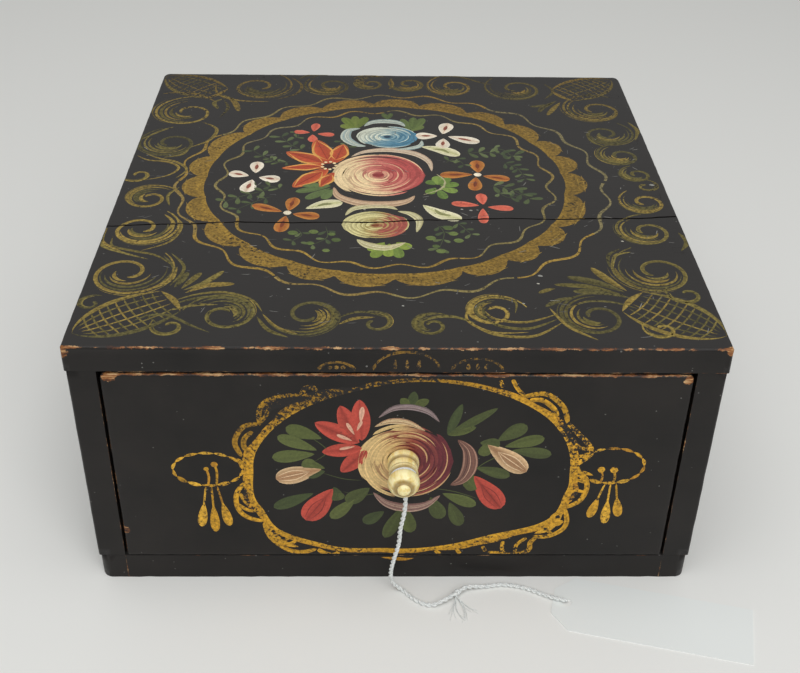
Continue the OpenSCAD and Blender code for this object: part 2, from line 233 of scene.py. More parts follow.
def black_paint(name, arrises, spots):
    """Aged black oil paint that is rubbed through along arrises and at spots."""
    material, tree, shader = new_material(name, 0.42)
    shader.inputs["Specular IOR Level"].default_value = 0.28
    place = add(tree, "TexCoord").outputs["Object"]
    patch = add(tree, "TexNoise", {"Vector": place, "Scale": every(PATCH_MM), "Detail": 8,
                                   "Roughness": 0.78}).outputs["Fac"]
    bare = rubbed_through(tree, place, patch, arrises, spots)
    drawn = add(tree, "Mapping", {"Vector": place, "Scale": (0.16, 0.5, 1.0)}).outputs[0]
    grain = add(tree, "TexNoise", {"Vector": drawn, "Scale": every(GRAIN_MM), "Detail": 5,
                                   "Roughness": 0.7}).outputs["Fac"]
    wood = add(tree, "ValToRGB", {"Fac": grain}, PINE_AND_HIGHLIGHT_STOPS).outputs["Color"]
    cloud = add(tree, "TexNoise", {"Vector": place, "Scale": every(CLOUD_MM), "Detail": 5,
                                   "Roughness": 0.6}).outputs["Fac"]
    tone = add(tree, "ValToRGB", {"Fac": cloud}, PAINT_STOPS).outputs["Color"]
    # Faces that point up are painted greyer: partly dust, partly a painted sheen of the room's light.
    up = add(tree, "SeparateXYZ", {"Vector": add(tree, "TexCoord").outputs["Normal"]}).outputs["Z"]
    dust_and_sheen = add(tree, "MapRange", {"Value": up, "From Min": 0.6, "From Max": 1.0, "To Max": 0.6}).outputs[0]
    painted = add(tree, "Mix", {0: dust_and_sheen, 6: tone, 7: srgb(DUST_AND_SHEEN)}, data_type="RGBA").outputs[2]
    painted = chipped(tree, painted, place, grain, patch)
    colour = add(tree, "Mix", {0: bare, 6: painted, 7: wood}, data_type="RGBA").outputs[2]
    tree.links.new(colour, shader.inputs["Base Color"])
    long_way = add(tree, "Mapping", {"Vector": place, "Scale": (0.12, 1.0, 1.0)}).outputs[0]
    marks = add(tree, "TexNoise", {"Vector": long_way, "Scale": every(BRUSH_MM), "Detail": 3}).outputs["Fac"]
    heights = add(tree, "Math", {0: bare, 1: -0.5, 2: marks}, operation="MULTIPLY_ADD").outputs[0]
    bump = add(tree, "Bump", {"Height": heights, "Strength": 0.25, "Distance": 0.12 * MM})
    tree.links.new(bump.outputs["Normal"], shader.inputs["Normal"])
    return material


print("brush marks in mm:", BRUSH_MM, "clouds in mm:", CLOUD_MM)

# %% [markdown]
# The arrises that hands and the table rub are listed for the case and for the drawer front: first the
# axis that each runs along, then a point on it, how far the wear reaches and where it starts.

# %% Wear on the case and the drawer
SIDE_THICK = 11.5
half_w = top_high.x / MM
side_x = side_high.x / MM
side_y = side_low.y / MM
face = FACE_Y / MM
back = rear_high.y / MM
foot_y = FOOT_Y / MM
high = TOP_Z / MM
under = UNDER_TOP / MM
sole = foot_high.z / MM
case_arrises = [
    (0, (0, face + 0.1, high - 0.1), 5.4, 2.1),
    (0, (0, face, under), 2.4, 1.15),
    (0, (0, back, high), 5.0, 2.4),
    (1, (half_w, 0, high), 4.6, 2.25),
    (1, (-half_w, 0, high), 4.6, 2.25),
    (0, (0, foot_y, sole), 2.2, 1.15),
    (0, (0, foot_y, 0), 3.0, 1.6),
    (2, (side_x, side_y, 0), 3.0, 1.6),
    (2, (-side_x, side_y, 0), 3.0, 1.6),
    (2, (side_x - SIDE_THICK, side_y, 0), 2.2, 1.05),
    (2, (SIDE_THICK - side_x, side_y, 0), 2.2, 1.05),
]
case_spots = [
    ((-half_w, face, high - 3), 11.0, 3.0),
    ((half_w, face, high - 1), 10.0, 3.0),
    ((-side_x, side_high.y / MM, 60), 9.0, 3.0),
]
case_paint = black_paint("black paint on the case", case_arrises, case_spots)

lid_z = front_high.z / MM
low_z = front_low.z / MM
drawer_x = front_high.x / MM
drawer_arrises = [
    (0, (0, face + 0.5, lid_z), 4.6, 1.7),
    (2, (-drawer_x, face + 0.4, 0), 3.0, 1.3),
    (2, (drawer_x, face + 0.4, 0), 2.6, 1.3),
    (0, (0, face + 0.4, low_z), 2.0, 0.95),
]
drawer_spots = [
    ((-drawer_x + 0.6, face, 28), 6.0, 1.0),
    ((-drawer_x + 3, face, lid_z - 1), 12.0, 3.2),
    ((drawer_x - 2, face, lid_z - 2), 9.0, 2.6),
]
drawer_paint = black_paint("black paint on the drawer front", drawer_arrises, drawer_spots)
print("arrises with wear:", len(case_arrises) + len(drawer_arrises))

# %% [markdown]
# ## The seam in the top
# The top is two boards that have shrunk apart. The crack isn't a ruled line: it wanders by a millimetre,
# as the broken paint does. The same small push is given to the boards and to the paint over them, so they
# stay together.

# %% How the crack wanders
seam_left = Vector((rear_low.x, rear_low.y, 0))
seam_slope = (top_high.y - rear_low.y) / (rear_high.x - rear_low.x)
SEAM_REACH = 9 * MM
# Each wave of the crack is its height, its length and its shift along the seam, in mm.
SEAM_WAVES = ((0.75, 17.5, 100), (0.4, 6.3, 0))
SEAM_ROUGH = 0.5
SEAM_OPENS = 0.22


def seam_y(x):
    """The middle of the seam at x."""
    return seam_left.y + seam_slope * (x - seam_left.x)


def wander(place):
    """How far the crack's wander moves a point of the top, towards the back."""
    x = place.x / MM
    gap = place.y - seam_y(place.x)
    wave = sum(size * math.sin((x + shift) / length) for size, length, shift in SEAM_WAVES)
    wave += SEAM_ROUGH * noise.noise((x / 4, 0, 3))
    wide = SEAM_OPENS * noise.noise((x / 9, 5, 0)) * (1 if gap > 0 else -1)
    return (wave + wide) * MM * max(0.0, 1 - abs(gap) / SEAM_REACH)


print("seam rises", round(math.degrees(math.atan(seam_slope)), 2), "degrees")

# %% [markdown]
# ## Rubbed boards
# A packed board has perfectly straight arrises. A copy of it is cut into small steps with bisecting
# planes, and the points close to an arris are pushed in a little by noise, as handling has done to the
# real ones.

# %% Rub the boards
PAINT_ROOM = 0.15 * MM
RUB_REACH = 1.8 * MM
DENT = 0.16 * MM
DENT_WIDTH = 3.5 * MM
TOP_SKIN = 0.3 * MM
TOUCH = 0.001 * MM
SHARP = math.radians(32)


def rubbed_board(node, material, body, step=3.0, top=False):
    """A copy of a packed board with dented arrises, cut into steps in mm.

    The top keeps room for the paint and follows the crack.
    """
    bm = bmesh.new()
    bm.from_mesh(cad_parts[node].data)
    bmesh.ops.remove_doubles(bm, verts=bm.verts, dist=TOUCH)
    low, high_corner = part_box(node)
    for axis in range(3):
        count = int((high_corner[axis] - low[axis]) / (step * MM))
        for i in range(1, count):
            on_plane, across = Vector(), Vector()
            on_plane[axis] = low[axis] + (high_corner[axis] - low[axis]) * i / count
            across[axis] = 1
            whole = bm.verts[:] + bm.edges[:] + bm.faces[:]
            bmesh.ops.bisect_plane(bm, geom=whole, dist=TOUCH, plane_co=on_plane, plane_no=across)
    for v in bm.verts:
        # The nearest two of the six sides meet in the nearest arris.
        gaps = sorted((min(v.co[k] - low[k], high_corner[k] - v.co[k]), k) for k in range(3))
        if gaps[1][0] < RUB_REACH:
            push = DENT * max(0.0, 0.5 + noise.noise(v.co / DENT_WIDTH)) * (1 - gaps[1][0] / RUB_REACH)
            for _, k in gaps[:2]:
                v.co[k] += push if v.co[k] - low[k] < high_corner[k] - v.co[k] else -push
        if top:
            v.co.y += wander(v.co)
            if v.co.z > TOP_Z - TOP_SKIN:
                v.co.z -= PAINT_ROOM
    piece = finish_piece("painted_" + node, bm, material, body, [node])
    piece.data.set_sharp_from_angle(angle=SHARP)


for node in ("top_front_board", "top_rear_board"):
    rubbed_board(node, case_paint, "case", top=True)
for node in ("bottom_board", "left_side", "right_side"):
    rubbed_board(node, case_paint, "case", step=4.0)
rubbed_board("drawer_front", drawer_paint, "drawer")

# %% [markdown]
# The nails of the top were set a hair below the surface and painted over. They get the same black, and a
# copy of them is moved down by the room that the paint takes. The nails underneath and the brads are
# bare, dull iron.

# %% Nails
bm = bmesh.new()
bm.from_mesh(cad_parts["top_nails"].data)
bmesh.ops.translate(bm, verts=bm.verts, vec=(0, 0, -PAINT_ROOM))
finish_piece("painted_top_nails", bm, case_paint, "case", ["top_nails"], smooth=False)
iron, tree, shader = new_material("dull cut iron", 0.6)
shader.inputs["Base Color"].default_value = srgb("#3a332e")
shader.inputs["Metallic"].default_value = 0.5
coat(("bottom_nails", "drawer_brads"), iron)
coat(("back_nails", "back_board"), case_paint)

# %% [markdown]
# ## Bare pine inside the drawer
# The drawer was never painted inside. Old pine goes the colour of weak tea, with darker lines where the
# hard late wood of each year stands, a few millimetres apart. A stretched noise gives those lines, and a
# finer one the fibres.

# %% Bare pine
YEARS_MM = 9
FIBRE_MM = 1.3
BARE_STOPS = ((0.45, "#7d5a38"), (0.85, "#c19c6c"))


def bare_pine(name, along):
    """Aged bare pine whose grain runs along one axis."""
    material, tree, shader = new_material(name, 0.68)
    place = add(tree, "TexCoord").outputs["Object"]
    stretch = [1.0, 1.0, 1.0]
    stretch[along] = 0.04
    flat = add(tree, "Mapping", {"Vector": place, "Scale": stretch}).outputs[0]
    years = add(tree, "TexNoise", {"Vector": flat, "Scale": every(YEARS_MM), "Detail": 5, "Roughness": 0.6,
                                   "Distortion": 0.6}).outputs["Fac"]
    fibres = add(tree, "TexNoise", {"Vector": flat, "Scale": every(FIBRE_MM), "Detail": 2}).outputs["Fac"]
    both = add(tree, "Math", {0: fibres, 1: 0.35, 2: years}, operation="MULTIPLY_ADD").outputs[0]
    wood = add(tree, "ValToRGB", {"Fac": both}, BARE_STOPS).outputs["Color"]
    tree.links.new(wood, shader.inputs["Base Color"])
    bump = add(tree, "Bump", {"Height": both, "Strength": 0.3, "Distance": 0.15 * MM})
    tree.links.new(bump.outputs["Normal"], shader.inputs["Normal"])
    return material


coat(("drawer_left_side", "drawer_right_side"), bare_pine("bare pine, grain front to back", 1))
coat(("drawer_back", "drawer_bottom"), bare_pine("bare pine, grain side to side", 0))

# %% [markdown]
# ## Paint as thin strokes
# Folk flower painting is built from single loaded strokes, and each stroke stands a little proud of the
# ground. So every stroke here is its own thin ribbon: a small grid that is bent along the stroke's line,
# swelled to its width and raised in the middle. Its points carry the colour, with a slightly different
# tone for each bristle line. Painting on a flat sheet in millimetres keeps the design readable, and a
# matrix then lays the sheet on the wood.
#
# A stroke's line is a function of t, which goes from 0 at its start to 1 at its end.

# %% Lines for the brush
def sheet():
    """An empty sheet to paint on, in millimetres."""
    bm = bmesh.new()
    bm.verts.layers.float_color.new("paint")
    return bm


def through(*points):
    """A smooth line through a few places."""
    row = [Vector(p) for p in points]

    def line(t):
        s = max(0.0, min(1.0, t)) * (len(row) - 1)
        i = min(int(s), len(row) - 2)
        f = s - i
        a, b, c, d = (row[max(0, min(len(row) - 1, k))] for k in (i - 1, i, i + 1, i + 2))
        return 0.5 * (2 * b + (c - a) * f + (2 * a - 5 * b + 4 * c - d) * f ** 2
                      + (3 * b - a - 3 * c + d) * f ** 3)

    return line


def around(centre, rx, ry, start, end, shrink=0.0):
    """A line round an ellipse between two angles in degrees. shrink draws it in on the way."""
    def line(t):
        a = math.radians(start + (end - start) * t)
        k = 1 - shrink * t
        return Vector((centre[0] + k * rx * math.cos(a), centre[1] + k * ry * math.sin(a)))

    return line


def heading(line, t, reach=0.02):
    """The way that a line runs at t."""
    return line(min(1, t + reach)) - line(max(0, t - reach))


def left_of(way):
    """A quarter turn to the left, one long."""
    return Vector((-way.y, way.x)).normalized()


print("a line through three places passes", tuple(through((0, 0), (1, 1), (2, 0))(0.5)))

# %% [markdown]
# A stroke's width is a function of t too. Each of these gives half the width, and is named for the mark
# that the brush leaves.

# %% Widths of a stroke
def even(width):
    """A line of one width with short rounded ends."""
    return lambda t: width / 2 * min(1.0, math.sqrt(max(0.0, 1 - abs(2 * t - 1) ** 8)))


def comma(width):
    """Pressed hard at the start and lifted off to a point."""
    return lambda t: width / 2 * math.sin(math.pi * t ** 0.5) ** 0.8 if 0 < t < 1 else 0.0


def leaf(width):
    """Thin at both ends."""
    return lambda t: width / 2 * math.sin(math.pi * t) ** 0.8 if 0 < t < 1 else 0.0


def petal(width):
    """Narrow at the heart and round at the tip."""
    return lambda t: width / 2 * math.sin(math.pi * t ** 1.5) ** 0.62 if 0 < t < 1 else 0.0


print("a leaf of 4 mm is", round(2 * leaf(4)(0.25), 2), "mm wide at a quarter of its length")

# %% [markdown]
# The brush lays one ribbon. Its outer edges dip under the ground, so that no gap shows below them.

# %% The brush
THINNEST = 0.02
EDGE_DIP = 0.05


def mixed(codes, t):
    """The colour at t along a row of hex colours."""
    row = codes if isinstance(codes, (list, tuple)) else [codes]
    if len(row) == 1:
        return Vector(srgb(row[0])[:3])
    s = max(0.0, min(1.0, t)) * (len(row) - 1)
    i = min(int(s), len(row) - 2)
    return Vector(srgb(row[i])[:3]).lerp(Vector(srgb(row[i + 1])[:3]), s - i)


def brush(bm, line, width, colour, lift=0.02, steps=10, lines=4, streak=0.16, crown=0.035):
    """One stroke.

    colour is hex, a row of hex along the stroke, or a function of t and of s across, from -1 to 1.
    """
    layer = bm.verts.layers.float_color["paint"]
    made = bmesh.ops.create_grid(bm, x_segments=steps, y_segments=lines, size=0.5)["verts"]
    tones = [1 + streak * random.uniform(-1, 1) for _ in range(lines + 1)]
    known = {}
    for v in made:
        t, s = min(1.0, max(0.0, v.co.x + 0.5)), 2 * v.co.y
        key = round(t, 4)
        if key not in known:
            known[key] = (line(t), left_of(heading(line, t, 0.01)), max(THINNEST, width(t)))
        middle, side, half = known[key]
        at = middle + side * s * half
        shade = colour(t, s) if callable(colour) else mixed(colour, t)
        tone = tones[round((s + 1) / 2 * lines)]
        v[layer] = (*(min(1.0, c * tone) for c in shade), 1.0)
        v.co = (at.x, at.y, lift + crown * (1 - s * s) - (EDGE_DIP if abs(s) > 0.99 else 0))


print("a stroke stands up to", 0.02 + 0.035, "mm proud of the ground")

# %% [markdown]
# A painted sheet is scaled from millimetres and laid on its board, and cut where the wood ends or opens.

# %% Cut and lay a sheet
def lay_on(bm, matrix):
    """Lays a sheet that was painted in millimetres on its board."""
    bmesh.ops.transform(bm, matrix=matrix @ Matrix.Scale(MM, 4), verts=bm.verts)


def cut_between(bm, point_a, point_b, across):
    """Cuts a sheet along two planes and takes out what lies between them."""
    way = Vector(across)
    for point in (point_a, point_b):
        whole = bm.verts[:] + bm.edges[:] + bm.faces[:]
        bmesh.ops.bisect_plane(bm, geom=whole, dist=0.0001, plane_co=point, plane_no=way)
    low, high_side = sorted((Vector(point_a).dot(way), Vector(point_b).dot(way)))
    gone = [f for f in bm.faces if low < f.calc_center_median().dot(way) < high_side]
    bmesh.ops.delete(bm, geom=gone, context="FACES")


FAR = 400
print("sheets are cut out to", FAR, "mm")

# %% [markdown]
# Two paints lie on the ground. Bronze powder in varnish has gone dull and olive, and it has worn to
# specks where it was rubbed. Oil colours are smoother and have only lost small flakes. Both take their
# colour from the strokes.

# %% Bronze and oil colours
RUBBED_MM = 22
GONE_OVER = 0.05


def stroke_paint(name, roughness, metallic, fleck, lost, depth):
    """Paint that takes the strokes' colour. fleck is the size of its specks in mm.

    Less of it has gone where lost is higher, and depth is how dark its specks are.
    """
    material, tree, shader = new_material(name, roughness)
    shader.inputs["Metallic"].default_value = metallic
    shader.inputs["Specular IOR Level"].default_value = 0.35
    place = add(tree, "TexCoord").outputs["Object"]
    stroke = add(tree, "Attribute", attribute_name="paint")
    paint = stroke.outputs["Color"]
    speck = add(tree, "TexNoise", {"Vector": place, "Scale": every(fleck), "Detail": 5,
                                   "Roughness": 0.75}).outputs["Fac"]
    patch = add(tree, "TexNoise", {"Vector": place, "Scale": every(RUBBED_MM), "Detail": 3}).outputs["Fac"]
    both = add(tree, "Math", {0: patch, 1: 0.45, 2: speck}, operation="MULTIPLY_ADD").outputs[0]
    # A stroke's alpha is 1 where it is sound and less where it is rubbed.
    tired = add(tree, "Math", {0: both, 1: stroke.outputs["Alpha"]}, operation="SUBTRACT").outputs[0]
    gone = add(tree, "MapRange",
               {"Value": tired, "From Min": lost - 1, "From Max": lost - 1 + GONE_OVER}).outputs[0]
    dirt = add(tree, "MapRange", {"Value": speck, "From Min": 0.36, "From Max": 0.62, "To Min": 1.3,
                                  "To Max": 1.3 - depth}).outputs[0]
    toned = add(tree, "VectorMath", {0: paint, "Scale": dirt}, operation="SCALE").outputs[0]
    colour = add(tree, "Mix", {0: gone, 6: toned, 7: srgb(GROUND)}, data_type="RGBA").outputs[2]
    tree.links.new(colour, shader.inputs["Base Color"])
    bump = add(tree, "Bump", {"Height": speck, "Strength": 0.2, "Distance": 0.08 * MM})
    tree.links.new(bump.outputs["Normal"], shader.inputs["Normal"])
    return material


top_bronze_paint = stroke_paint("dulled bronze paint", 0.5, 0.1, 1.3, 0.83, 0.85)
front_bronze_paint = stroke_paint("bright bronze paint", 0.42, 0.1, 1.3, 0.8, 0.8)
oil_paint = stroke_paint("oil colours", 0.45, 0.0, 1.2, 0.9, 0.35)
print("paints: 3")

# %% [markdown]
# ## Bronze ornament on the top
# The top carries a scalloped bronze ring between two wavy lines, a lattice pineapple in each corner and a
# border of C and S scrolls. These are stock motifs of painted furniture. The scallops aren't equal, so
# their cusps are a short list of angles, and a formula swells the ring between two cusps.

# %% The scalloped edge
RING_AT = (-4.3, 4.5)
CUSPS = (-88, -69, -55, -43, -30, -9, 6, 18, 30, 46, 61, 78, 94, 112, 128, 144, 164, 178, 192, 208, 225, 242,
         256, 272)
RING_IN = 83.6
CUSP_R = 88
SWELL = 8


def cusp_share(degrees):
    """How far an angle lies from one cusp to the next, from 0 to 1."""
    a = (degrees - CUSPS[0]) % 360 + CUSPS[0]
    i = max(k for k, c in enumerate(CUSPS) if c <= a + 1e-6)
    i = min(i, len(CUSPS) - 2)
    return (a - CUSPS[i]) / (CUSPS[i + 1] - CUSPS[i])


def ring_out(degrees):
    """The radius of the scalloped edge."""
    return CUSP_R + SWELL * math.sin(math.pi * cusp_share(degrees)) ** 0.62


print("scallops:", len(CUSPS) - 1)

# %% [markdown]
# The band of the ring is one grid, bent round until its ends meet. Noise makes its colour uneven, as
# bronze powder lies, and its rim dips under the ground.

# %% A band of paint
def near_angle(degrees, middle, spread):
    """1 at one angle, falling to 0 at a spread of degrees to either side."""
    away = abs((degrees - middle + 180) % 360 - 180)
    return max(0.0, 1 - away / spread) ** 0.7


def band(bm, centre, inner, outer, colour, steps, fade, squash=1.0):
    """A ring of paint between two radii that change with the angle. fade darkens it by the angle."""
    layer = bm.verts.layers.float_color["paint"]
    for v in bmesh.ops.create_grid(bm, x_segments=steps, y_segments=6, size=0.5)["verts"]:
        t, s = v.co.x + 0.5, v.co.y + 0.5
        degrees = -360 * t
        a = math.radians(degrees)
        r = inner(degrees) + (outer(degrees) - inner(degrees)) * s
        grainy = (0.9 + 0.25 * noise.noise((r * 0.7, degrees * 0.1, 1))) * fade(degrees)
        v[layer] = (*(mixed(colour, s) * grainy), 1.0)
        edge = 0.04 if s in (0.0, 1.0) else 0.0
        v.co = (centre[0] + r * math.cos(a), centre[1] + r * squash * math.sin(a), 0.02 - edge)


top_bronze = sheet()
band(top_bronze, RING_AT, lambda d: RING_IN + 0.7 * noise.noise((d / 20, 0, 0)), ring_out,
     ["#b08c38", "#9c7c36", "#a68438"], 480, fade=lambda d: 1 - 0.2 * near_angle(d, -10, 120))
print("the ring is", RING_IN, "to", CUSP_R + SWELL, "mm from its centre")

# %% [markdown]
# Two thin strokes follow the inside of each scallop. Then a wavy line runs along each side of the ring.
# It is made of twelve short strokes, so its shade changes where the brush was loaded again.

# %% Strokes along the ring
ECHO_R = 93.4
# Each wavy line is its centre, radius, number of waves, swing and width.
WAVY_LINES = (((-1, 3.4), 99.6, 24, 2.0, 2.3), ((-4.2, 4.3), 77.8, 22, 2.0, 2.0))
WAVY_PARTS = 12
ARC = 30
ARC_AND_LAP = 30.5


def wavy(centre, radius, waves, swing, start, end):
    """Part of a circle that waves in and out."""
    def line(t):
        d = start + (end - start) * t
        a = math.radians(d)
        r = radius + swing * math.sin(a * waves) + 1.6 * noise.noise((d / 15, radius, 0))
        return Vector((centre[0] + r * math.cos(a), centre[1] + r * math.sin(a)))

    return line


for start, end in zip(CUSPS, CUSPS[1:]):
    for k, width in enumerate((1.5, 1.1)):
        r = ECHO_R - 2.6 * k
        trim = (end - start) * (0.14 + 0.08 * k)
        line = around(RING_AT, r, r, start + trim, end - trim)
        brush(top_bronze, line, leaf(width), random.choice(("#a5873c", "#96793a")), lift=0.02, lines=2)
for centre, radius, waves, swing, width in WAVY_LINES:
    for part in range(WAVY_PARTS):
        start = part * ARC + random.uniform(-1, 1)
        shade = random.choice(("#8d7f4e", "#a5863c", "#8a7f58", "#9b8348"))
        brush(top_bronze, wavy(centre, radius, waves, swing, start, start + ARC_AND_LAP),
              lambda t, w=width, p=part: w / 2 * (0.85 + 0.25 * math.sin(9 * t + p)), shade, steps=44,
              lines=2)
print("points in the bronze so far:", len(top_bronze.verts))

# %% [markdown]
# Each scroll is a volute. One main stroke winds in to a pressed blob, and more strands of the same loaded
# brush lie beside its outer turn, each starting a little later and lifting off sooner.

# %% A scroll
OLIVE = ("#81733a", "#716735", "#8f7b3b", "#625b33", "#99823e")
DRY = 0.3


def volute(bm, centre, radius, start, way, strands, turns):
    """A wound scroll. start is the angle of its tail in degrees, and way is 1 or -1."""
    def spiral(share, first, span):
        def line(t):
            a = math.radians(first + way * span * t)
            gone = (abs(first - start) + span * t) / (360 * turns)
            r = radius * share * (1 - 0.84 * gone ** 0.9)
            return Vector((centre[0] + r * math.cos(a), centre[1] + r * math.sin(a)))

        return line

    def pressed(t):
        swell = (0.3 + 0.75 * math.sin(math.pi * t ** 0.8) + 1.15 * t ** 5) * min(1, 8 * (1 - t) + 0.3)
        return swell * min(1.0, 0.55 + radius / 26)

    brush(bm, spiral(1.0, start, 360 * turns), pressed, random.choice(OLIVE), lift=0.03, steps=40, lines=3,
          streak=DRY)
    for k in range(1, strands + 1):
        first = start + way * random.uniform(16, 34) * k
        span = random.uniform(190, 250) - 22 * k
        line = spiral(1 - 0.15 * k + 0.02 * random.uniform(-1, 1), first, span)
        brush(bm, line, leaf(random.uniform(1.7, 2.6) * min(1, 0.6 + radius / 30)), random.choice(OLIVE),
              lift=0.01 * k, steps=22, lines=3, streak=DRY)
    brush(bm, spiral(1.11, start + way * 60, 120), leaf(1.2), random.choice(OLIVE), lift=0.0, steps=14,
          lines=2, streak=DRY)


def sweep(bm, points, width, shape=leaf, lift=0.02):
    """One bronze stroke through a few places."""
    brush(bm, through(*points), shape(width), random.choice(OLIVE), lift=lift, steps=18, lines=3, streak=DRY)


print("tones of dulled bronze:", len(OLIVE))

# %% [markdown]
# The scrolls follow the edges of the top, and single strokes link one to the next.

# %% The border of scrolls
# Each scroll is its centre, its radius, the angle of its tail and the way that it winds.
scrolls = [
    ((-107, 80), 22, 60, 1), ((-110.5, 43), 18.5, 110, 1), ((-121, 8), 8, 190, 1),
    ((-112, -15), 14.5, 20, 1), ((-111, -43), 18, 60, -1), ((-111, -80), 21, 50, -1),
    ((-121, -103), 6.5, 60, 1), ((107.5, 87), 20, 100, 1), ((108, 57), 16, 60, -1), ((111.5, 32), 14, 80, 1),
    ((116, 12), 9.5, 100, 1), ((118, 0), 7, 80, -1), ((114.5, -16), 13, 120, 1), ((110.5, -43), 16, 90, 1),
    ((108, -77), 21, 110, 1), ((117, -94.5), 9, 140, 1), ((-88, -119), 8, 150, 1),
    ((-68, -110.5), 16.5, 170, -1), ((-35, -110.5), 16, 200, 1), ((-9, -116), 9, 120, -1),
    ((13, -117.5), 9.5, 45, 1), ((37.5, -108), 14, 15, 1), ((78, -111), 18, 60, 1),
    ((102, -119.5), 8, 150, 1), ((-73, 115), 20, 60, -1), ((-34, 117), 16, 120, 1), ((-12, 120), 11, 60, 1),
    ((9, 120), 12, 140, 1), ((33, 117), 16, 110, 1), ((68, 115), 19, 130, 1),
]
BROAD = 13
SMALL = 9
for centre, radius, start, way in scrolls:
    strands = 4 if radius > BROAD else 3 if radius > SMALL else 1
    volute(top_bronze, centre, radius, start, way, strands, 1.35 if radius > SMALL else 1.0)
# Each link is the places that its stroke passes.
links = [
    ((-103, -116), (-97, -111.5), (-89, -111.5), (-80, -118), (-72, -123)),
    ((-90, -108), (-80, -104), (-71, -103.5)),
    ((-89, -101), (-80, -96), (-69, -94.5), (-58, -100), (-53, -109)),
    ((-53, -110), (-47, -119), (-38, -124)), ((-88, -103), (-80, -99), (-70, -98), (-60, -104)),
    ((-55, -112), (-50, -121), (-42, -126)), ((-24, -113), (-18, -109), (-12, -108.5), (-5, -112)),
    ((-23, -117), (-17, -113), (-9, -112)), ((30, -116), (22, -111.5), (14, -112), (8, -116)),
    ((30, -119), (38, -124), (52, -124.5), (64, -115)), ((34, -107), (38, -113), (50, -115), (63, -109)),
    ((32, -108), (38, -117), (50, -119.5), (62, -113)),
    ((46, -109), (47, -101), (42, -97), (35, -97.5), (29, -103)),
    ((95, -105), (86, -100.5), (76, -100), (67, -105)), ((28, -104), (27, -114), (36, -122), (50, -122)),
    ((60, -105), (66, -118), (76, -127)), ((-122, -50), (-121, -58), (-112, -62), (-101, -66), (-93, -74)),
    ((-126, -48), (-125, -58), (-115, -64), (-104, -69)),
    ((-125, 29), (-119, 24), (-109, 22), (-103, 16), (-107, 8), (-117, 3)),
    ((-121, 31), (-114, 26), (-105, 22), (-99, 14), (-103, 5)),
    ((-100, -30), (-94, -40), (-97, -54), (-108, -62)), ((-98, 68), (-90, 60), (-92, 47), (-101, 38)),
    ((-95, -64), (-88, -76), (-92, -90)), ((-98, -66), (-92, -77), (-96, -88)),
    ((-98, -92), (-92, -85), (-91, -75)), ((-126, -42), (-126, -54), (-116, -63)),
    ((-112, 62), (-118, 57), (-126, 47)), ((-101, 36), (-104, 30), (-112, 27)),
    ((-100, -4), (-104, -12), (-102, -22)), ((-103, -30), (-98, -38), (-101, -48)),
    ((-124, 104), (-116, 106), (-104, 103), (-94, 94)), ((-90, 96), (-87, 86), (-90, 74)),
    ((-94, 104), (-86, 98), (-82, 88)), ((99, -90), (93, -83), (91, -74)),
    ((100, -61), (93, -64), (90, -75)), ((96, -58), (90, -64), (89, -74)),
    ((122, -60), (126, -52), (124, -44)), ((106, 42), (100, 48), (98, 57)),
    ((122, 72), (125, 62), (122, 50)), ((98, 78), (94, 84), (93, 92)), ((100, 104), (108, 107), (118, 104)),
    ((-56, 128), (-50, 118), (-52, 106), (-62, 98)), ((-97, 118), (-94, 104), (-82, 96), (-66, 95)),
    ((-52, 126), (-46, 132), (-36, 132)), ((20, 128), (28, 132), (38, 131), (48, 124), (55, 120)),
    ((84, 122), (88, 112), (82, 101)), ((-22, 128), (-14, 132), (-4, 130)), ((-2, 113), (0, 119), (-1, 128)),
]
for points in links:
    sweep(top_bronze, points, random.uniform(1.8, 2.6))
print("scrolls:", len(scrolls), "links:", len(links))

# %% [markdown]
# A pineapple with a lattice stands for plenty and welcome on painted furniture. Its two edges bulge from
# a cut base to a point, and the lattice lines are shares of the same bulge, so they always end on the
# edges.

# %% Corner pineapples
def pineapple(bm, tip, base, width, rows=9, columns=4):
    """A lattice fruit from its cut base to its tip."""
    tip, base = Vector(tip), Vector(base)
    ahead = tip - base
    side = left_of(ahead) * width / 2

    def place(a, b):
        return base + ahead * a + side * b * (1 - a) ** 0.75 * (0.62 + 1.6 * a) / 0.86

    for b in (-1, 1):
        brush(bm, lambda t, b=b: place(t, b), leaf(3.0), random.choice(OLIVE), lift=0.03, steps=24, lines=3)
    brush(bm, lambda t: place(-0.03 * math.sin(math.pi * t), 2 * t - 1), leaf(3.4), OLIVE[4], lift=0.03,
          lines=3)
    for k in range(1, columns + 1):
        b = -1 + 2 * k / (columns + 1)
        brush(bm, lambda t, b=b: place(0.02 + 0.9 * t, b), even(1.2), random.choice(OLIVE), steps=14,
              lines=2)
    for k in range(1, rows + 1):
        a = 0.9 * k / (rows + 1)
        brush(bm, lambda t, a=a: place(a + 0.03 * math.sin(math.pi * t), 2 * t - 1), even(1.2),
              random.choice(OLIVE), steps=8, lines=2)


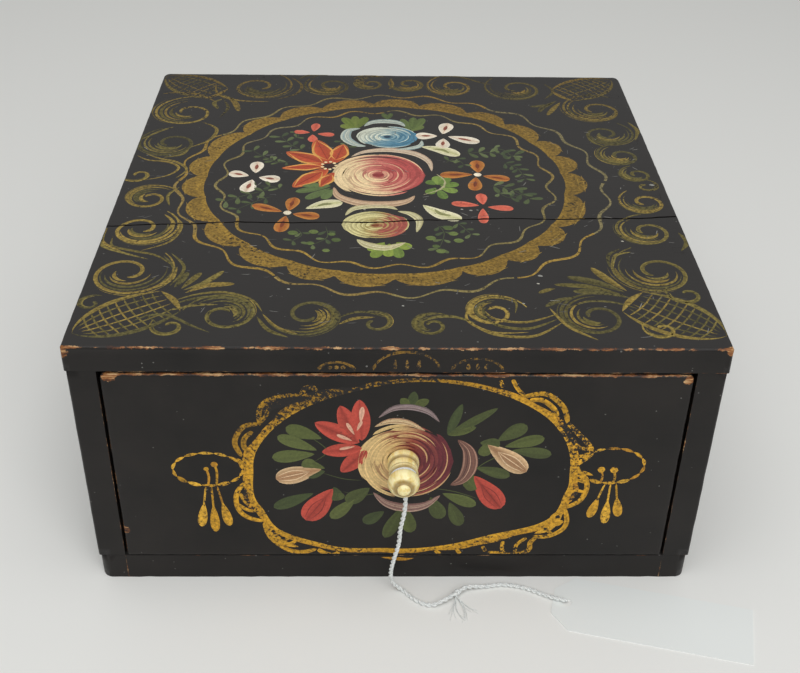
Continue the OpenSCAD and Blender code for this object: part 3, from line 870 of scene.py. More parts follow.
# Each fruit is its tip, its base and its width, and each leaf of its tuft the three places and the width
# of a stroke.
fruits = [((-124, -124), (-90, -101), 24), ((126, -124), (94, -100), 25),
          ((-125, 129), (-95, 105), 24), ((122, 129), (92, 106), 24)]
for tip, base, width in fruits:
    pineapple(top_bronze, tip, base, width)
sprays = [
    ((-90, -91), (-88, -86), (-86, -79), 3.8), ((-87, -92), (-84, -86), (-80.5, -79.5), 3.6),
    ((-86, -93), (-78, -87), (-71.5, -78), 3.6), ((-85, -95), (-77, -89.5), (-66, -88), 4.2),
    ((93, -92), (87, -84), (81, -74), 4.6), ((92, -93), (82, -86), (70, -81.5), 5.4),
    ((91, -95), (78, -89), (64, -87.5), 3.8), ((93, -97), (83, -93), (71, -92.5), 5.0),
    ((71, -97), (65, -99), (58.5, -104), 3.2), ((64, -90.5), (61, -91.5), (57, -94), 2.8),
    ((88, 99), (82, 93), (73, 91), 3.6), ((87, 97), (80, 90), (77, 84), 3.4),
    ((90, 97), (86, 90), (81, 80), 3.6), ((-89, 100), (-84, 93), (-81, 82), 4.0),
    ((-90, 99), (-95, 93), (-92, 85), 3.0),
]
for start, middle, end, width in sprays:
    sweep(top_bronze, (start, middle, end), width, shape=petal, lift=0.03)
print("pineapples:", len(fruits), "leaves:", len(sprays))

# %% [markdown]
# ## Flowers
# A rose is a shaded ball first: cream on the lit side and deep red on the other. Over it go arcs that
# wind round and in to the eye, each light or dark by where it lies, and a thin pale line is dragged along
# many of them. The outer petals are crescents that hug the ball, with the marks of the bristles in them.

# %% Spots and roses
def chord(t):
    """Half the width of a disc of radius 1, at t along its middle."""
    return math.sqrt(max(0.0, 1 - (2 * t - 1) ** 2))


def spot(bm, centre, rx, ry, colour, **looks):
    """A filled oval, painted as one broad stroke."""
    centre = Vector(centre)
    brush(bm, lambda t: centre + Vector((rx * (2 * t - 1), 0)), lambda t: ry * chord(t), colour, **looks)


def dot(bm, centre, radius, colour, lift=0.05):
    """A round touch of the brush."""
    spot(bm, centre, radius, radius, colour, lift=lift, steps=6, lines=4)


def rose(bm, centre, rx, ry, light, middle, deep, eye, lit, rings):
    """A shaded ball with arcs wound in to its eye. lit is the angle of the lit side."""
    centre = Vector(centre)
    sunny = math.radians(lit)

    def shade(a, share, tint):
        return mixed([deep, deep, middle, light, light], 0.5 + 0.5 * share * math.cos(a - sunny) + tint)

    def ball(t, s):
        x, y = 2 * t - 1, s * chord(t)
        return shade(math.atan2(y, x), math.hypot(x, y), -0.12) * 0.78

    spot(bm, centre, rx, ry, ball, lift=0.0, steps=28, lines=12, streak=0.03, crown=0.01)
    for k in range(rings):
        share = 0.95 - 0.86 * k / rings
        arms = 5 if share > 0.6 else 4 if share > 0.3 else 3
        start = random.uniform(0, 360)
        for arm in range(arms):
            first = start + arm * 360 / arms + random.uniform(-9, 9)
            span = 360 / arms * random.uniform(1.0, 1.45)
            drift = random.uniform(0.02, 0.12)
            tint = random.uniform(-0.08, 0.2)
            wide = (0.5 + 0.075 * rx) * random.uniform(0.8, 1.3)
            line = around(centre, rx * share, ry * share, first + span, first, drift)
            brush(bm, line, comma(wide),
                  lambda t, s: shade(math.radians(first + span * (1 - t)), share, tint),
                  lift=0.02 + 0.004 * k, steps=12, lines=3, streak=0.14)
            # On the lit side most arcs get a thin pale line along their outer edge.
            facing = math.cos(math.radians(first + span / 2) - sunny)
            if random.random() < 0.62 + 0.35 * facing:
                out = share + 0.045 * random.uniform(0.4, 1.2)
                line = around(centre, rx * out, ry * out, first + span * 0.95, first + span * 0.1, drift)
                glint = mixed([middle, light], 0.75 + 0.25 * facing) * 1.2
                brush(bm, line, leaf(0.75 + 0.016 * rx), lambda t, s: glint, lift=0.035 + 0.004 * k,
                      steps=12, lines=2)
    across_eye = through(centre + Vector((-0.13 * rx, 0.02 * ry)), centre,
                         centre + Vector((0.11 * rx, 0.04 * ry)))
    brush(bm, across_eye, leaf(0.17 * rx), eye, lift=0.07, lines=3)


print("the arcs of a rose wind in to", round(0.95 - 0.86 * 8 / 9, 2), "of its radius")

# %% [markdown]
# Petals and leaves are single strokes. What tells them apart is the shape of the stroke and the marks in it.

# %% Petals and leaves
def crescent(bm, points, width, tones):
    """An outer petal of a rose through a few places, with bristle marks along it."""
    line = through(*points)
    brush(bm, line, leaf(width), tones[0], lift=0.03, steps=22, lines=6, streak=0.1)
    for k in range(5):
        side = width * (-0.36 + 0.18 * k)

        def mark(t):
            t = 0.06 + 0.88 * t
            return line(t) + left_of(heading(line, t)) * side * math.sin(math.pi * t) ** 0.8

        brush(bm, mark, leaf(0.12 * width), tones[1 + k % (len(tones) - 1)], lift=0.06, steps=18, lines=2)


def stroke_petal(bm, start, end, width, colours, heart=None, bend=0.0, lift=0.03, shape=petal):
    """One pressed petal from the heart to its tip, with a darker mark in it."""
    start, end = Vector(start), Vector(end)
    side = Vector((start.y - end.y, end.x - start.x)) * bend
    line = through(start, (start + end) / 2 + side, end)
    brush(bm, line, shape(width), colours, lift=lift, steps=14, lines=6)
    if heart:
        inner = through(start.lerp(end, 0.3), start.lerp(end, 0.52) + side, start.lerp(end, 0.74))
        brush(bm, inner, leaf(width * 0.42), heart, lift=lift + 0.03, steps=6, lines=3)


print("bristle marks in an outer petal: 5")

# %% [markdown]
# A blossom is four petals from near one point. Leaves stand singly on their stalks, and a sprig is a thin
# stem with small leaves to its left and right.

# %% Blossoms, leaves and sprigs
def blossom(bm, petals, width, colours, heart=None, eye=None, centre=None):
    """Four petals, and a dot for the eye."""
    for start, end in petals:
        stroke_petal(bm, start, end, width * random.uniform(0.92, 1.08), colours, heart)
    if eye:
        dot(bm, centre, 1.9, eye)


def leaves(bm, rows, colours, width):
    """Single leaves, each from its stalk to its tip, with a lighter rib."""
    for start, end in rows:
        shade = random.choice(colours)
        stroke_petal(bm, start, end, width * random.uniform(0.9, 1.15), shade, lift=0.01)
        start, end = Vector(start), Vector(end)
        rib = through(start.lerp(end, 0.2), start.lerp(end, 0.85))
        brush(bm, rib, leaf(0.5), lambda t, s: mixed(shade, 0) * 1.35, lift=0.03, steps=4, lines=2)


def sprig(bm, stem, size, count, colours):
    """A thin stem with small leaves to its left and right."""
    line = through(*stem)
    brush(bm, line, leaf(0.8), colours[0], lift=0.0, steps=10, lines=2)
    for k in range(count):
        t = (k + 0.7) / count
        at = line(t)
        ahead = heading(line, t).normalized()
        for side in (-1, 1):
            out = Matrix.Rotation(side * math.radians(58), 2) @ ahead
            stroke_petal(bm, at + out * 0.4, at + out * size * random.uniform(0.8, 1.15), size * 0.5,
                         random.choice(colours), lift=0.01)


print("a sprig's leaves stand off its stem by 58 degrees")

# %% [markdown]
# The greenery of the top goes down first, because the flowers lie over it.

# %% Leaves on the top
flowers = sheet()
MOSS = ("#5a6a38", "#4f5e33", "#62703c")
DULL = ("#4b5636", "#56613c", "#424d33", "#5f6a44")
FRESH = ("#76883a", "#83943f", "#687c38")
leaves(flowers, [((-19.5, 62), (-26, 75)), ((-19, 62), (-20, 77)), ((-18.5, 62), (-14, 76)),
                 ((-20, 61), (-27, 66))], ("#67762f", "#727f38"), 6.0)
leaves(flowers, [((8, 60), (4.5, 74)), ((9, 60), (10.5, 76)), ((10, 60), (15.5, 75)), ((9, 59), (15, 66))],
       MOSS, 5.6)
leaves(flowers, [((-3, 73), (-5.5, 81)), ((-3, 73), (-1, 81))], MOSS, 3.4)
leaves(flowers, [((20, 0), (20, 9)), ((20, 0), (26, 7)), ((21, -1), (30, 1)), ((21, -3), (29, -7)),
                 ((20, -4), (23, -14)), ((19, -3), (15, -9)), ((19, 0), (15, 4))],
       ("#67803a", "#768c42", "#5c7436"), 6.2)
leaves(flowers, [((-30, -2), (-46, -8)), ((-30, -4), (-41, -15)), ((-30, -1), (-44, -1)),
                 ((-29, -5), (-33, -15))], ("#5d6d40", "#6c7b4c", "#516238"), 6.0)
# Each sprig is its stem, the size of its leaves and how many pairs it has.
sprigs = [
    (((-44, 35), (-51, 42), (-57, 52)), 6, 4), (((-55, 22), (-63, 28), (-70, 36)), 5.5, 3),
    (((-50, 24), (-55, 22), (-61, 27)), 4, 3), (((-58, -6), (-68, -11), (-78, -18)), 6, 4),
    (((-52, -6), (-57, -3), (-66, -2)), 5, 3), (((-56, -12), (-64, -18), (-72, -26)), 5, 3),
    (((34, 34), (46, 35), (60, 32)), 6.5, 5), (((46, 40), (54, 38), (58, 30)), 5, 3),
    (((52, 24), (59, 18), (62, 6)), 5, 5), (((24, 22), (30, 28), (34, 20)), 5, 3),
    (((44, 0), (54, -4), (62, -14)), 6.5, 5), (((46, -4), (52, -12), (60, -8)), 5, 3),
    (((-31, -40), (-30, -50), (-37, -57)), 5, 3), (((-44, -42), (-41, -48), (-46, -54)), 4.5, 2),
    (((18, -38), (21, -46), (18, -60)), 5, 4), (((26, -34), (30, -41), (33, -47)), 4.5, 3),
    (((-26, 36), (-23, 42), (-27, 48)), 5, 2), (((-52, 48), (-48, 52), (-50, 58)), 4, 2),
]
for stem, size, count in sprigs:
    sprig(flowers, stem, size, count, DULL)
berries = [
    (-45, -46), (-36, -45), (-28, -47), (-37, -55), (-30, -61), (-26, -52), (15, -50), (17, -57), (25, -46),
    (23, -41), (19, -61), (27, -52),
]
for at in berries:
    dot(flowers, at, random.uniform(1.7, 2.4), random.choice(MOSS), lift=0.02)
print("sprigs:", len(sprigs), "berries:", len(berries))

# %% [markdown]
# The lily has six pointed petals, red down the middle and orange along the edges, with three veins each.
# Its eye is a dark dot in a ring of pale ones.

# %% The lily on the top
LILY_EYE = (-31.5, 19)


def fire(t, s):
    """Lily petals are red down the middle and orange along the edges."""
    return mixed(["#a9432a", "#b9532f", "#c8813f"], abs(s) ** 1.7)


# Each petal is its heart, its tip and its width.
lily = [
    ((-31, 19), (-54, 16.2), 7), ((-31, 20), (-53, 34), 11), ((-31, 21), (-39, 48), 11),
    ((-29, 22), (-25, 43), 10), ((-32, 16), (-47.5, -3.5), 10.5), ((-29, 12), (-35, -3), 7),
]
for start, end, width in lily:
    stroke_petal(flowers, start, end, width, fire, shape=leaf)
    start, end = Vector(start), Vector(end)
    side = Vector((start.y - end.y, end.x - start.x)).normalized() * width * 0.43
    for k in (-1, 0, 1):
        line = through(start.lerp(end, 0.15), start.lerp(end, 0.5) + side * k, start.lerp(end, 0.98))
        brush(flowers, line, leaf(1.3), "#8f3520" if k == 0 else "#d9a052", lift=0.07, steps=10, lines=2)
dot(flowers, LILY_EYE, 3.2, "#3a211c", lift=0.08)
for k in range(9):
    a = math.radians(40 * k)
    dot(flowers, (LILY_EYE[0] + 3.3 * math.cos(a), 19.3 + 4.0 * math.sin(a)), 0.85, "#e8cfa0", lift=0.1)
print("lily petals:", len(lily))

# %% [markdown]
# The colour of a small petal changes across its width, from its middle to its rim.

# %% Small blossoms on the top
def milky(t, s):
    """White petals are cream at the rim and a little brown inside."""
    return mixed(["#cbb49c", "#e6dbc6", "#ece4d2"], abs(s))


def ember(t, s):
    """Orange petals are brown inside."""
    return mixed(["#985325", "#ad6a2e", "#c2853f"], abs(s))


def coral(t, s):
    """Coral petals are nearly even."""
    return mixed(["#c85a46", "#d4705a"], abs(s))


def straw(t, s):
    """Loose cream petals are greenish inside."""
    return mixed(["#b9b782", "#dcd6ae", "#e6dfbd"], abs(s))


blossom(flowers,
        [((-66, 11), (-66, 23)), ((-69, 8), (-78.5, 11)), ((-64, 6.5), (-54, 4)), ((-67, 4), (-69, -8.5))],
        8.0, milky, "#8a4c3c")
blossom(flowers, [((-40.5, 58), (-39.5, 67.5)), ((-42.5, 56.5), (-50.5, 57.5)), ((-38.5, 55), (-30, 54)),
                  ((-41, 54), (-40.5, 45.5))], 5.4, coral)
blossom(flowers, [((-48, -26), (-46, -13.5)), ((-51, -27), (-65, -21)), ((-46, -29), (-34, -31.5)),
                  ((-49, -31), (-51, -45.5))], 7.0, ember, "#74381f", "#e2d6bd", (-48.5, -28))
blossom(flowers,
        [((25, 56), (28, 69)), ((22, 53.5), (11, 53.5)), ((27.5, 53), (43, 46.5)), ((25, 50.5), (24, 39.5))],
        8.2, milky, "#8a4c3c")
blossom(flowers,
        [((40, 13), (40, 26)), ((37, 11), (21.5, 10)), ((42, 9.5), (54.5, 6)), ((38.5, 8), (37, -5.5))],
        7.6, ember, "#74381f", "#e8dcc2", (39.5, 10.8))
blossom(flowers, [((40, -19), (39.5, -8.5)), ((38, -20), (25.5, -18)), ((42, -21.5), (53.5, -23)),
                  ((39.5, -23), (39, -37))], 5.6, coral)
stroke_petal(flowers, (-40.5, -24), (-24, -18), 8.6, straw, "#7a7a50", bend=0.06)
stroke_petal(flowers, (13.5, 41), (32, 31), 9.0, straw, "#8a8a5a", bend=0.08)
stroke_petal(flowers, (12.5, -20), (29.5, -33.5), 9.4, straw, "#8a8a5a", bend=-0.08)
print("blossoms: 6, loose petals: 3")

# %% [markdown]
# The blue rose, the cream rose and the large pink one come last. Each has its outer petals first, then
# its ball.

# %% Roses on the top
SKY = ("#a9b3a8", "#c9cfc0", "#7f99a0", "#dcdccb")
crescent(flowers, ((-15, 64.5), (-11, 69.5), (-4, 71), (3, 69), (6, 64.5)), 5.4, SKY)
crescent(flowers, ((-17, 62), (-23, 59), (-24, 50), (-19, 43), (-14, 41)), 6.0, SKY)
crescent(flowers, ((14, 48), (13, 42), (7, 38.5), (0, 37.5)), 3.6, SKY)
rose(flowers, (-3.2, 52), 15.6, 12.6, "#c9cdbb", "#84a4ab", "#4f8199", "#20364a", lit=150, rings=6)
WHEAT = ("#bcb489", "#d9d2a8", "#a39a6c", "#e6e0bf")
crescent(flowers, ((-22.5, -30), (-19, -24), (-12, -21.3), (-4, -21.5), (1, -24.5)), 4.6, WHEAT)
crescent(flowers, ((1, -26), (7, -28.5), (10.5, -35), (9, -45)), 4.4, WHEAT)
crescent(flowers, ((-17, -51.5), (-12, -56.5), (-4, -58.5), (4, -54)), 6.0, WHEAT)
rose(flowers, (-9, -38.3), 15, 12.6, "#c9c08a", "#b0a062", "#a8564a", "#7a4022", lit=165, rings=6)
leaves(flowers,
       [((-5, -54), (-12, -61)), ((-5, -55), (-10, -67)), ((-3, -55), (-3.5, -66)), ((-1, -55), (1.5, -67)),
        ((0, -54), (6, -59))], FRESH, 6.6)
BLUSH = ("#c3ad93", "#dccbb0", "#b08f7c", "#e6dac2")
crescent(flowers, ((-21, 29.2), (-14, 35), (-2, 37), (10, 33), (16.6, 24.6), (17.8, 14)), 5.2, BLUSH)
crescent(flowers, ((-28.5, -3), (-26, -12), (-16, -18.6), (-4, -19.4), (5, -16.5), (9, -11)), 6.6,
         ("#bb9b7c", "#d3b795", "#9f7f69", "#dcc7a8"))
brush(flowers, through((20, 11), (23.5, 4), (21.5, -4), (13, -10)), leaf(1.6), "#a8a27c", lift=0.05,
      steps=14, lines=2)
rose(flowers, (-7.8, 9.7), 22.4, 22.4, "#dfc699", "#c8786a", "#b2504c", "#8e3636", lit=190, rings=9)
print("points in the flowers:", len(flowers.verts))

# %% [markdown]
# Last come the marks of use: short pale scratches and a few chips down to the chalky ground.

# %% Scratches and chips on the top
SCRATCHES = 150
RIM = 6
SCRATCHED_TO = 60
for k in range(SCRATCHES):
    at = Vector((random.uniform(-half_w + RIM, half_w - RIM), random.uniform(face + RIM, SCRATCHED_TO)))
    a = random.choice((0.1, 0.4, 2.6, 1.3)) + random.uniform(-0.4, 0.4)
    reach = Vector((math.cos(a), math.sin(a))) * random.uniform(1.0, 5.0)
    faint = random.choice(("#5d5c5a", "#6d6c69", "#4e4d4c", "#85837d"))
    bent = at + reach * 0.5 + Vector((0, random.uniform(-0.3, 0.3)))
    brush(flowers, through(at, bent, at + reach), even(0.32), faint, lift=0.09, steps=4, lines=2)
# Each chip is its place and its radius.
chips = [
    (-44, -92, 0.6), (59, -81, 1.0), (57.5, -87, 0.6), (50, -102, 0.6), (121, 1, 1.2), (30, -24, 0.6),
    (34, -25, 0.8), (37, -24.6, 0.5), (-14, -24.8, 0.5), (2, -104, 0.5), (98, -52, 0.6),
]
for x, y, r in chips:
    brush(flowers, through((x - r, y), (x, y + 0.3 * r), (x + r, y - 0.4 * r)), leaf(1.5 * r),
          random.choice(("#a3a29b", "#8f8e88", "#b4b0a3")), lift=0.1, steps=5, lines=2)
print("scratches:", SCRATCHES, "chips:", len(chips))

# %% [markdown]
# The strokes are darkened towards the back of the top, the blue more than the red. Then both sheets
# are cut along the seam, laid on the boards and moved by the crack's wander, as the boards were.

# %% Lay the sheets on the top
DARKER_FROM = 55
DARKER_TO = 133
DARKER_TAKES = (0.35, 0.42, 0.5)
BACK_WEAR = 0.06
RIM_KEPT = 0.8
SEAM_HALF = 0.55


# The strokes are made darker towards the back of the top.
def darken_towards_back(bm):
    """Darkens the strokes towards the back of the top, and takes more of the blue than of the red."""
    layer = bm.verts.layers.float_color["paint"]
    for v in bm.verts:
        share = max(0.0, min(1.0, (v.co.y - DARKER_FROM) / (DARKER_TO - DARKER_FROM)))
        left = [c * (1 - takes * share) for takes, c in zip(DARKER_TAKES, v[layer][:3])]
        v[layer] = (*left, 1 - BACK_WEAR * share)


top_seam = seam_left / MM
across_seam = Vector((-math.sin(math.atan(seam_slope)), math.cos(math.atan(seam_slope)), 0))
on_top = Matrix.Translation((0, 0, TOP_Z - PAINT_ROOM))
for name, bm, material in (("bronze_on_the_top", top_bronze, top_bronze_paint),
                           ("flowers_on_the_top", flowers, oil_paint)):
    darken_towards_back(bm)
    for axis, edge in ((0, half_w - RIM_KEPT), (1, -face - RIM_KEPT)):
        for way in (-1, 1):
            out = Vector((0, 0, 0))
            out[axis] = way
            cut_between(bm, out * edge, out * FAR, out)
    cut_between(bm, top_seam + across_seam * SEAM_HALF, top_seam - across_seam * SEAM_HALF, across_seam)
    lay_on(bm, on_top)
    for v in bm.verts:
        v.co.y += wander(v.co)
    finish_piece(name, bm, material, "case")

# %% [markdown]
# ## The front
# The drawer carries the same bunch in an oval ring with a lace edge, and a tassel hangs at each side. The
# painter worked on the closed box, so the ornament runs on over the top board's edge and the bottom
# board. Here it is painted on sheets of their own, so that one part rides with the drawer and the rest
# stays on the case.

# %% The oval ring
BRIGHT = ("#c69322", "#d39e2a", "#b4801f", "#dca934")
OVAL_AT = (6.2, 61.5)
OVAL_X = 63.7
OVAL_Y = 43.5
WORN_AT = 118
# The oval was drawn by eye. These are its angles in degrees with its share of a true oval's radius there.
BY_EYE = ((0, 1.0), (45, 1.03), (80, 1.03), (120, 0.975), (180, 1.0), (205, 1.07), (222, 1.14), (240, 1.1),
          (264, 1.005), (300, 0.965), (327, 1.085), (345, 1.025), (360, 1.0))


def oval_in(degrees):
    """The radius of the oval's inner edge, eased from one place of the list to the next."""
    degrees %= 360
    i = max(k for k, (d, _) in enumerate(BY_EYE[:-1]) if d <= degrees)
    (d0, r0), (d1, r1) = BY_EYE[i:i + 2]
    t = (degrees - d0) / (d1 - d0)
    return OVAL_X * (r0 + (r1 - r0) * t * t * (3 - 2 * t))


def oval_out(degrees):
    """The radius of the oval's outer edge. The band is broad at the upper left and thin at the top."""
    broad = (5.0 * near_angle(degrees, 128, 17) + 1.2 * near_angle(degrees, 178, 14)
             + 3.4 * near_angle(degrees, 303, 24))
    thin = 1.6 * near_angle(degrees, 85, 30)
    return oval_in(degrees) + 4.2 + 1.4 * noise.noise((degrees / 11, 7, 0)) + broad - thin


drawer_bronze = sheet()
band(drawer_bronze, OVAL_AT, oval_in, oval_out, ["#e0a92c", "#d09a24", "#cd9626"], 360,
     fade=lambda d: 1 - 0.42 * near_angle(d, WORN_AT, 42), squash=OVAL_Y / OVAL_X)
print("the oval is", 2 * OVAL_X, "by", 2 * OVAL_Y, "mm inside")

# %% [markdown]
# Each lace loop is a bronze line that leaves the ring and comes back to it, and shorter lines divide the
# loops. Some of the gaps are filled with a broad stroke, and dark dots are the small holes that stay
# open, as in cut lace.

# %% Lace
# Each row is the places that one line passes.
lace = [
    ((-54, 84.5), (-54, 91.5), (-51, 96.5), (-45, 98.8), (-38, 99.6)),
    ((-50.5, 95), (-51.4, 89.5), (-55, 85)), ((-37.6, 99), (-35.6, 103), (-32.4, 103), (-31.8, 99)),
    ((-54.6, 85.4), (-60, 84.2), (-63.2, 80), (-64.4, 75), (-62, 68.6)),
    ((-57, 81.5), (-60.4, 78), (-60.8, 73.4), (-58.6, 71)),
    ((-61.5, 55), (-64.8, 50.2), (-65.8, 44.7), (-64.6, 39), (-60.8, 35.2), (-55, 33.4)),
    ((-64, 49), (-61.6, 43.6), (-58.5, 42.8)), ((-65.4, 43), (-61, 39.6), (-56.5, 39.4)),
    ((-55, 33), (-53.6, 26.6), (-51.2, 22.2), (-45.6, 17), (-39.6, 15.6), (-33.4, 17.4)),
    ((-54, 28), (-49.6, 26.8), (-47, 27.4)), ((-52.4, 24), (-47.6, 22.6), (-45, 24)),
    ((-50, 21), (-46, 20), (-42, 22)), ((-33, 17.2), (-29.8, 14.8), (-26.4, 13.8), (-24, 15.6)),
    ((43.8, 107.4), (46, 103), (48.8, 99.8)), ((39, 107), (40.4, 103.6)),
    ((48, 99), (56.6, 100.6), (62.1, 97), (65.4, 92.4), (67, 86)),
    ((51, 97.4), (56, 97.4), (60.6, 93.6), (62.6, 89.4)),
    ((66.4, 87), (72, 80.4), (76, 75.8), (78, 70.8), (74, 65.6)), ((69.4, 79), (72.6, 74), (77, 72.6)),
    ((69.6, 71), (73, 69), (77, 70.6)), ((72, 60.4), (77, 56.8), (78, 51.2), (75.8, 45), (70.2, 41)),
    ((71, 54.4), (74, 56.2), (77.4, 55)), ((70, 48), (73.4, 50.6), (77.8, 49.6)),
    ((70.2, 40.6), (71.6, 33.4), (69.8, 28.4), (64.2, 24.8), (58, 24.8)),
    ((68, 38.6), (65.4, 35.4), (67.4, 31.8), (69.8, 34)), ((63, 31), (64.4, 27.8), (66, 26)),
    ((60, 24.8), (57.2, 21.2), (57, 17), (53, 14.6), (49, 13.8), (44, 14.8), (39, 15.4)),
    ((55.4, 24), (51.6, 20), (51, 15.4)), ((45.6, 22), (45.4, 18), (46.4, 15)), ((37, 19), (38.4, 16)),
    ((26, 17.4), (27.6, 14.6)), ((17, 16.6), (19, 14.4)),
]
for points in lace:
    dim = 0.6 if points[0][1] > 80 and points[0][0] < -30 else 1.0
    wide = 2.5 if len(points) > 3 else 1.9
    brush(drawer_bronze, through(*points), even(wide), lambda t, s: mixed(BRIGHT[0], 0) * dim, lift=0.03,
          steps=24, lines=4, streak=0.3)
# Each filling is its places, its width and how sound its paint is.
fillings = [
    (((-54, 31), (-51, 25), (-46.6, 20.6), (-41, 18.6)), 3.6, 1.0),
    (((58.6, 26.4), (65, 30), (69.4, 38)), 3.4, 1.0),
    (((-52.6, 91), (-48, 95), (-42, 97), (-34, 98.6)), 6.0, 0.86),
    (((62, 90), (66, 84), (70.6, 75)), 3.0, 0.9), (((71.6, 57), (73.6, 51), (71.6, 44)), 3.0, 0.9),
    (((-61.6, 52), (-61.4, 45), (-58.4, 38)), 2.8, 0.9),
]
for points, width, sound in fillings:
    first = len(drawer_bronze.verts)
    brush(drawer_bronze, through(*points), leaf(width), BRIGHT[1] if sound == 1 else BRIGHT[2], lift=0.02,
          steps=20, lines=5, streak=0.2)
    layer = drawer_bronze.verts.layers.float_color["paint"]
    for v in list(drawer_bronze.verts)[first:]:
        v[layer] = (*v[layer][:3], sound)
holes = [
    (-51.4, 27.6, 0.9), (-47.4, 23.6, 1.0), (-49, 25.4, 0.6), (67.6, 36, 1.1), (63, 29.2, 0.8),
    (-61.8, 45.4, 0.8),
]
for x, y, r in holes:
    dot(drawer_bronze, (x, y), r, "#1d1917", lift=0.06)
print("lace lines:", len(lace), "fillings:", len(fillings), "holes:", len(holes))

# %% [markdown]
# A tassel hangs at each side of the ring, from a loop that is painted in short dashes. Below the loop,
# three cords spread and end in drops.

# %% Tassels
DASHES = 14
DASH_EVERY = 25.7
DASH_ARC = 27


def tassels(bm, centre, rx, ry, bow, ends):
    """An oval loop of dashes with a bow in it, and cords that end in drops."""
    for k in range(DASHES):
        line = around(centre, rx, ry, k * DASH_EVERY, k * DASH_EVERY + DASH_ARC)
        brush(bm, line, leaf(2.3 + 0.9 * (k in (8, 9, 11))), random.choice(BRIGHT), steps=6, lines=2,
              streak=0.3)
    for x, y, r in bow:
        dot(bm, (x, y), r, random.choice(BRIGHT), lift=0.04)
        brush(bm, through((x, y), (x + 0.8, y - 4), (x + 0.2, centre[1] - ry)), even(1.5),
              random.choice(BRIGHT), steps=8, lines=2, streak=0.3)
    knot = Vector((centre[0] + 0.8, centre[1] - ry))
    for k, end in enumerate(ends):
        end = Vector(end)
        top = knot + Vector((2.2 * (k - 1), 0))
        brush(bm, through(top, top.lerp(end, 0.5), top.lerp(end, 0.8)), even(1.3), random.choice(BRIGHT),
              steps=8, lines=2)
        stroke_petal(bm, top.lerp(end, 0.42), end, 4.4, random.choice(BRIGHT), lift=0.03)


tassels(drawer_bronze, (-76.2, 61.8), 14, 8.6, ((-73.4, 64.4, 1.5), (-76.8, 62, 1.1)),
        ((-81, 30.4), (-75.3, 27.4), (-69.2, 30.8)))
tassels(drawer_bronze, (86.8, 64), 13.4, 9.2, ((83, 62, 1.6), (88.2, 61.8, 1.7)),
        ((80.6, 35.6), (87.4, 32.2), (92.8, 36.2)))
ties = [
    ((-64.4, 67.8), (-61.6, 64.6), (-60.8, 61)), ((-62, 68), (-60, 64), (-60, 60)),
    ((-60.5, 68), (-60, 63), (-60, 56)), ((78, 71), (75, 67), (72, 63)), ((80, 59), (76, 60.4), (72, 61)),
]
for points in ties:
    brush(drawer_bronze, through(*points), leaf(2.8), BRIGHT[0], steps=8, lines=2, streak=0.3)
print("tassels: 2, with", len(ties), "ties to the ring")

# %% [markdown]
# Hands have rubbed the upper part of the ring. The paint is marked as worn near a few places, and made
# darker there.

# %% Wear on the oval ring
def tire(bm, place, reach, loss, dark=0.0):
    """Marks the strokes near a place as rubbed, and darkens them."""
    layer = bm.verts.layers.float_color["paint"]
    for v in bm.verts:
        share = max(0.0, 1 - (v.co.xy - Vector(place)).length / reach)
        colour = v[layer]
        shade = 1 - dark * share
        v[layer] = (colour[0] * shade, colour[1] * shade, colour[2] * shade, colour[3] - loss * share)


# Each place is a point, how far it reaches, how much paint is lost, and how dark it is.
rubbed_places = [
    ((-36, 100), 40, 0.17, 0.2), ((8, 107), 45, 0.12, 0.45), ((52, 14), 24, 0.09, 0.0),
    ((70, 85), 26, 0.08, 0.0),
]
for place, reach, loss, dark in rubbed_places:
    tire(drawer_bronze, place, reach, loss, dark)
print("points in the drawer's bronze:", len(drawer_bronze.verts))

# %% [markdown]
# Three small scallops cross the joint above the drawer, so their upper halves lie on the top board's
# edge. The foot of the ring runs over on to the bottom board.

# %% Scallops on the top's edge, and the ring's foot
SCALLOPS = ((-23.6, 7, 4.4), (3.2, 12.8, 9.2), (30, 9.8, 6.2))
case_bronze = sheet()
for x, rx, ry in SCALLOPS:
    brush(case_bronze, around((x, under + 0.4), rx, ry, 176, 4), even(1.5), "#8f6b24", steps=24, lines=2,
          streak=0.5)
    for k in range(-1, 2):
        foot = (x + k * rx * 0.34, under + 1.4)
        tip = (foot[0] + 0.3 * k, under + 0.6 + ry * 0.62)
        brush(case_bronze, through(foot, tip), leaf(1.9), "#86662a", steps=5, lines=2, streak=0.4)
tire(case_bronze, (4, under + 5), FAR, 0.1)
foot_bronze = sheet()
brush(foot_bronze, through((-6, 11.8), (0, 11.0), (4, 10.6), (8, 11.4)), leaf(2.0), BRIGHT[2], steps=12,
      lines=2, streak=0.5)
print("scallops on the edge:", len(SCALLOPS))

# %% [markdown]
# The bunch on the drawer is painted as the one on the top was: leaves and stems, then the small flowers,
# then the rose. Its colours are warmer and darker than on the top.

# %% Leaves on the drawer
bunch = sheet()
SAGE = ("#434b26", "#4c5429", "#3a4424", "#535b2e")
leaves(bunch,
       [((-30, 78), (-44, 83.5)), ((-32, 72), (-47.5, 79)), ((-33, 70), (-50, 68)), ((-31, 62), (-38, 66)),
        ((-34, 49), (-50.5, 41)), ((-25, 51), (-24, 45)), ((-17, 46), (-27, 35)), ((-11, 52), (-20.5, 44)),
        ((-5, 39), (-13.5, 32.5)), ((3, 42), (-4.5, 24)), ((3, 42), (6.5, 27)), ((14, 47), (19, 35)),
        ((19, 49), (33, 42.5)), ((22, 44), (27, 31)), ((40, 77), (51, 85)), ((43, 74), (58.5, 78.5)),
        ((46, 72), (62, 70)), ((32, 63), (46, 58.5)), ((28, 58), (32.5, 51)), ((33, 76), (41, 75))],
       SAGE, 7.4)
blades = [
    ((20, 80), (25, 95.5)), ((20.5, 80), (39, 93.5)), ((20, 80), (31, 84)), ((5.5, 94), (6.2, 101.5)),
    ((6, 94), (12, 97.5)), ((5, 94), (1, 98)),
]
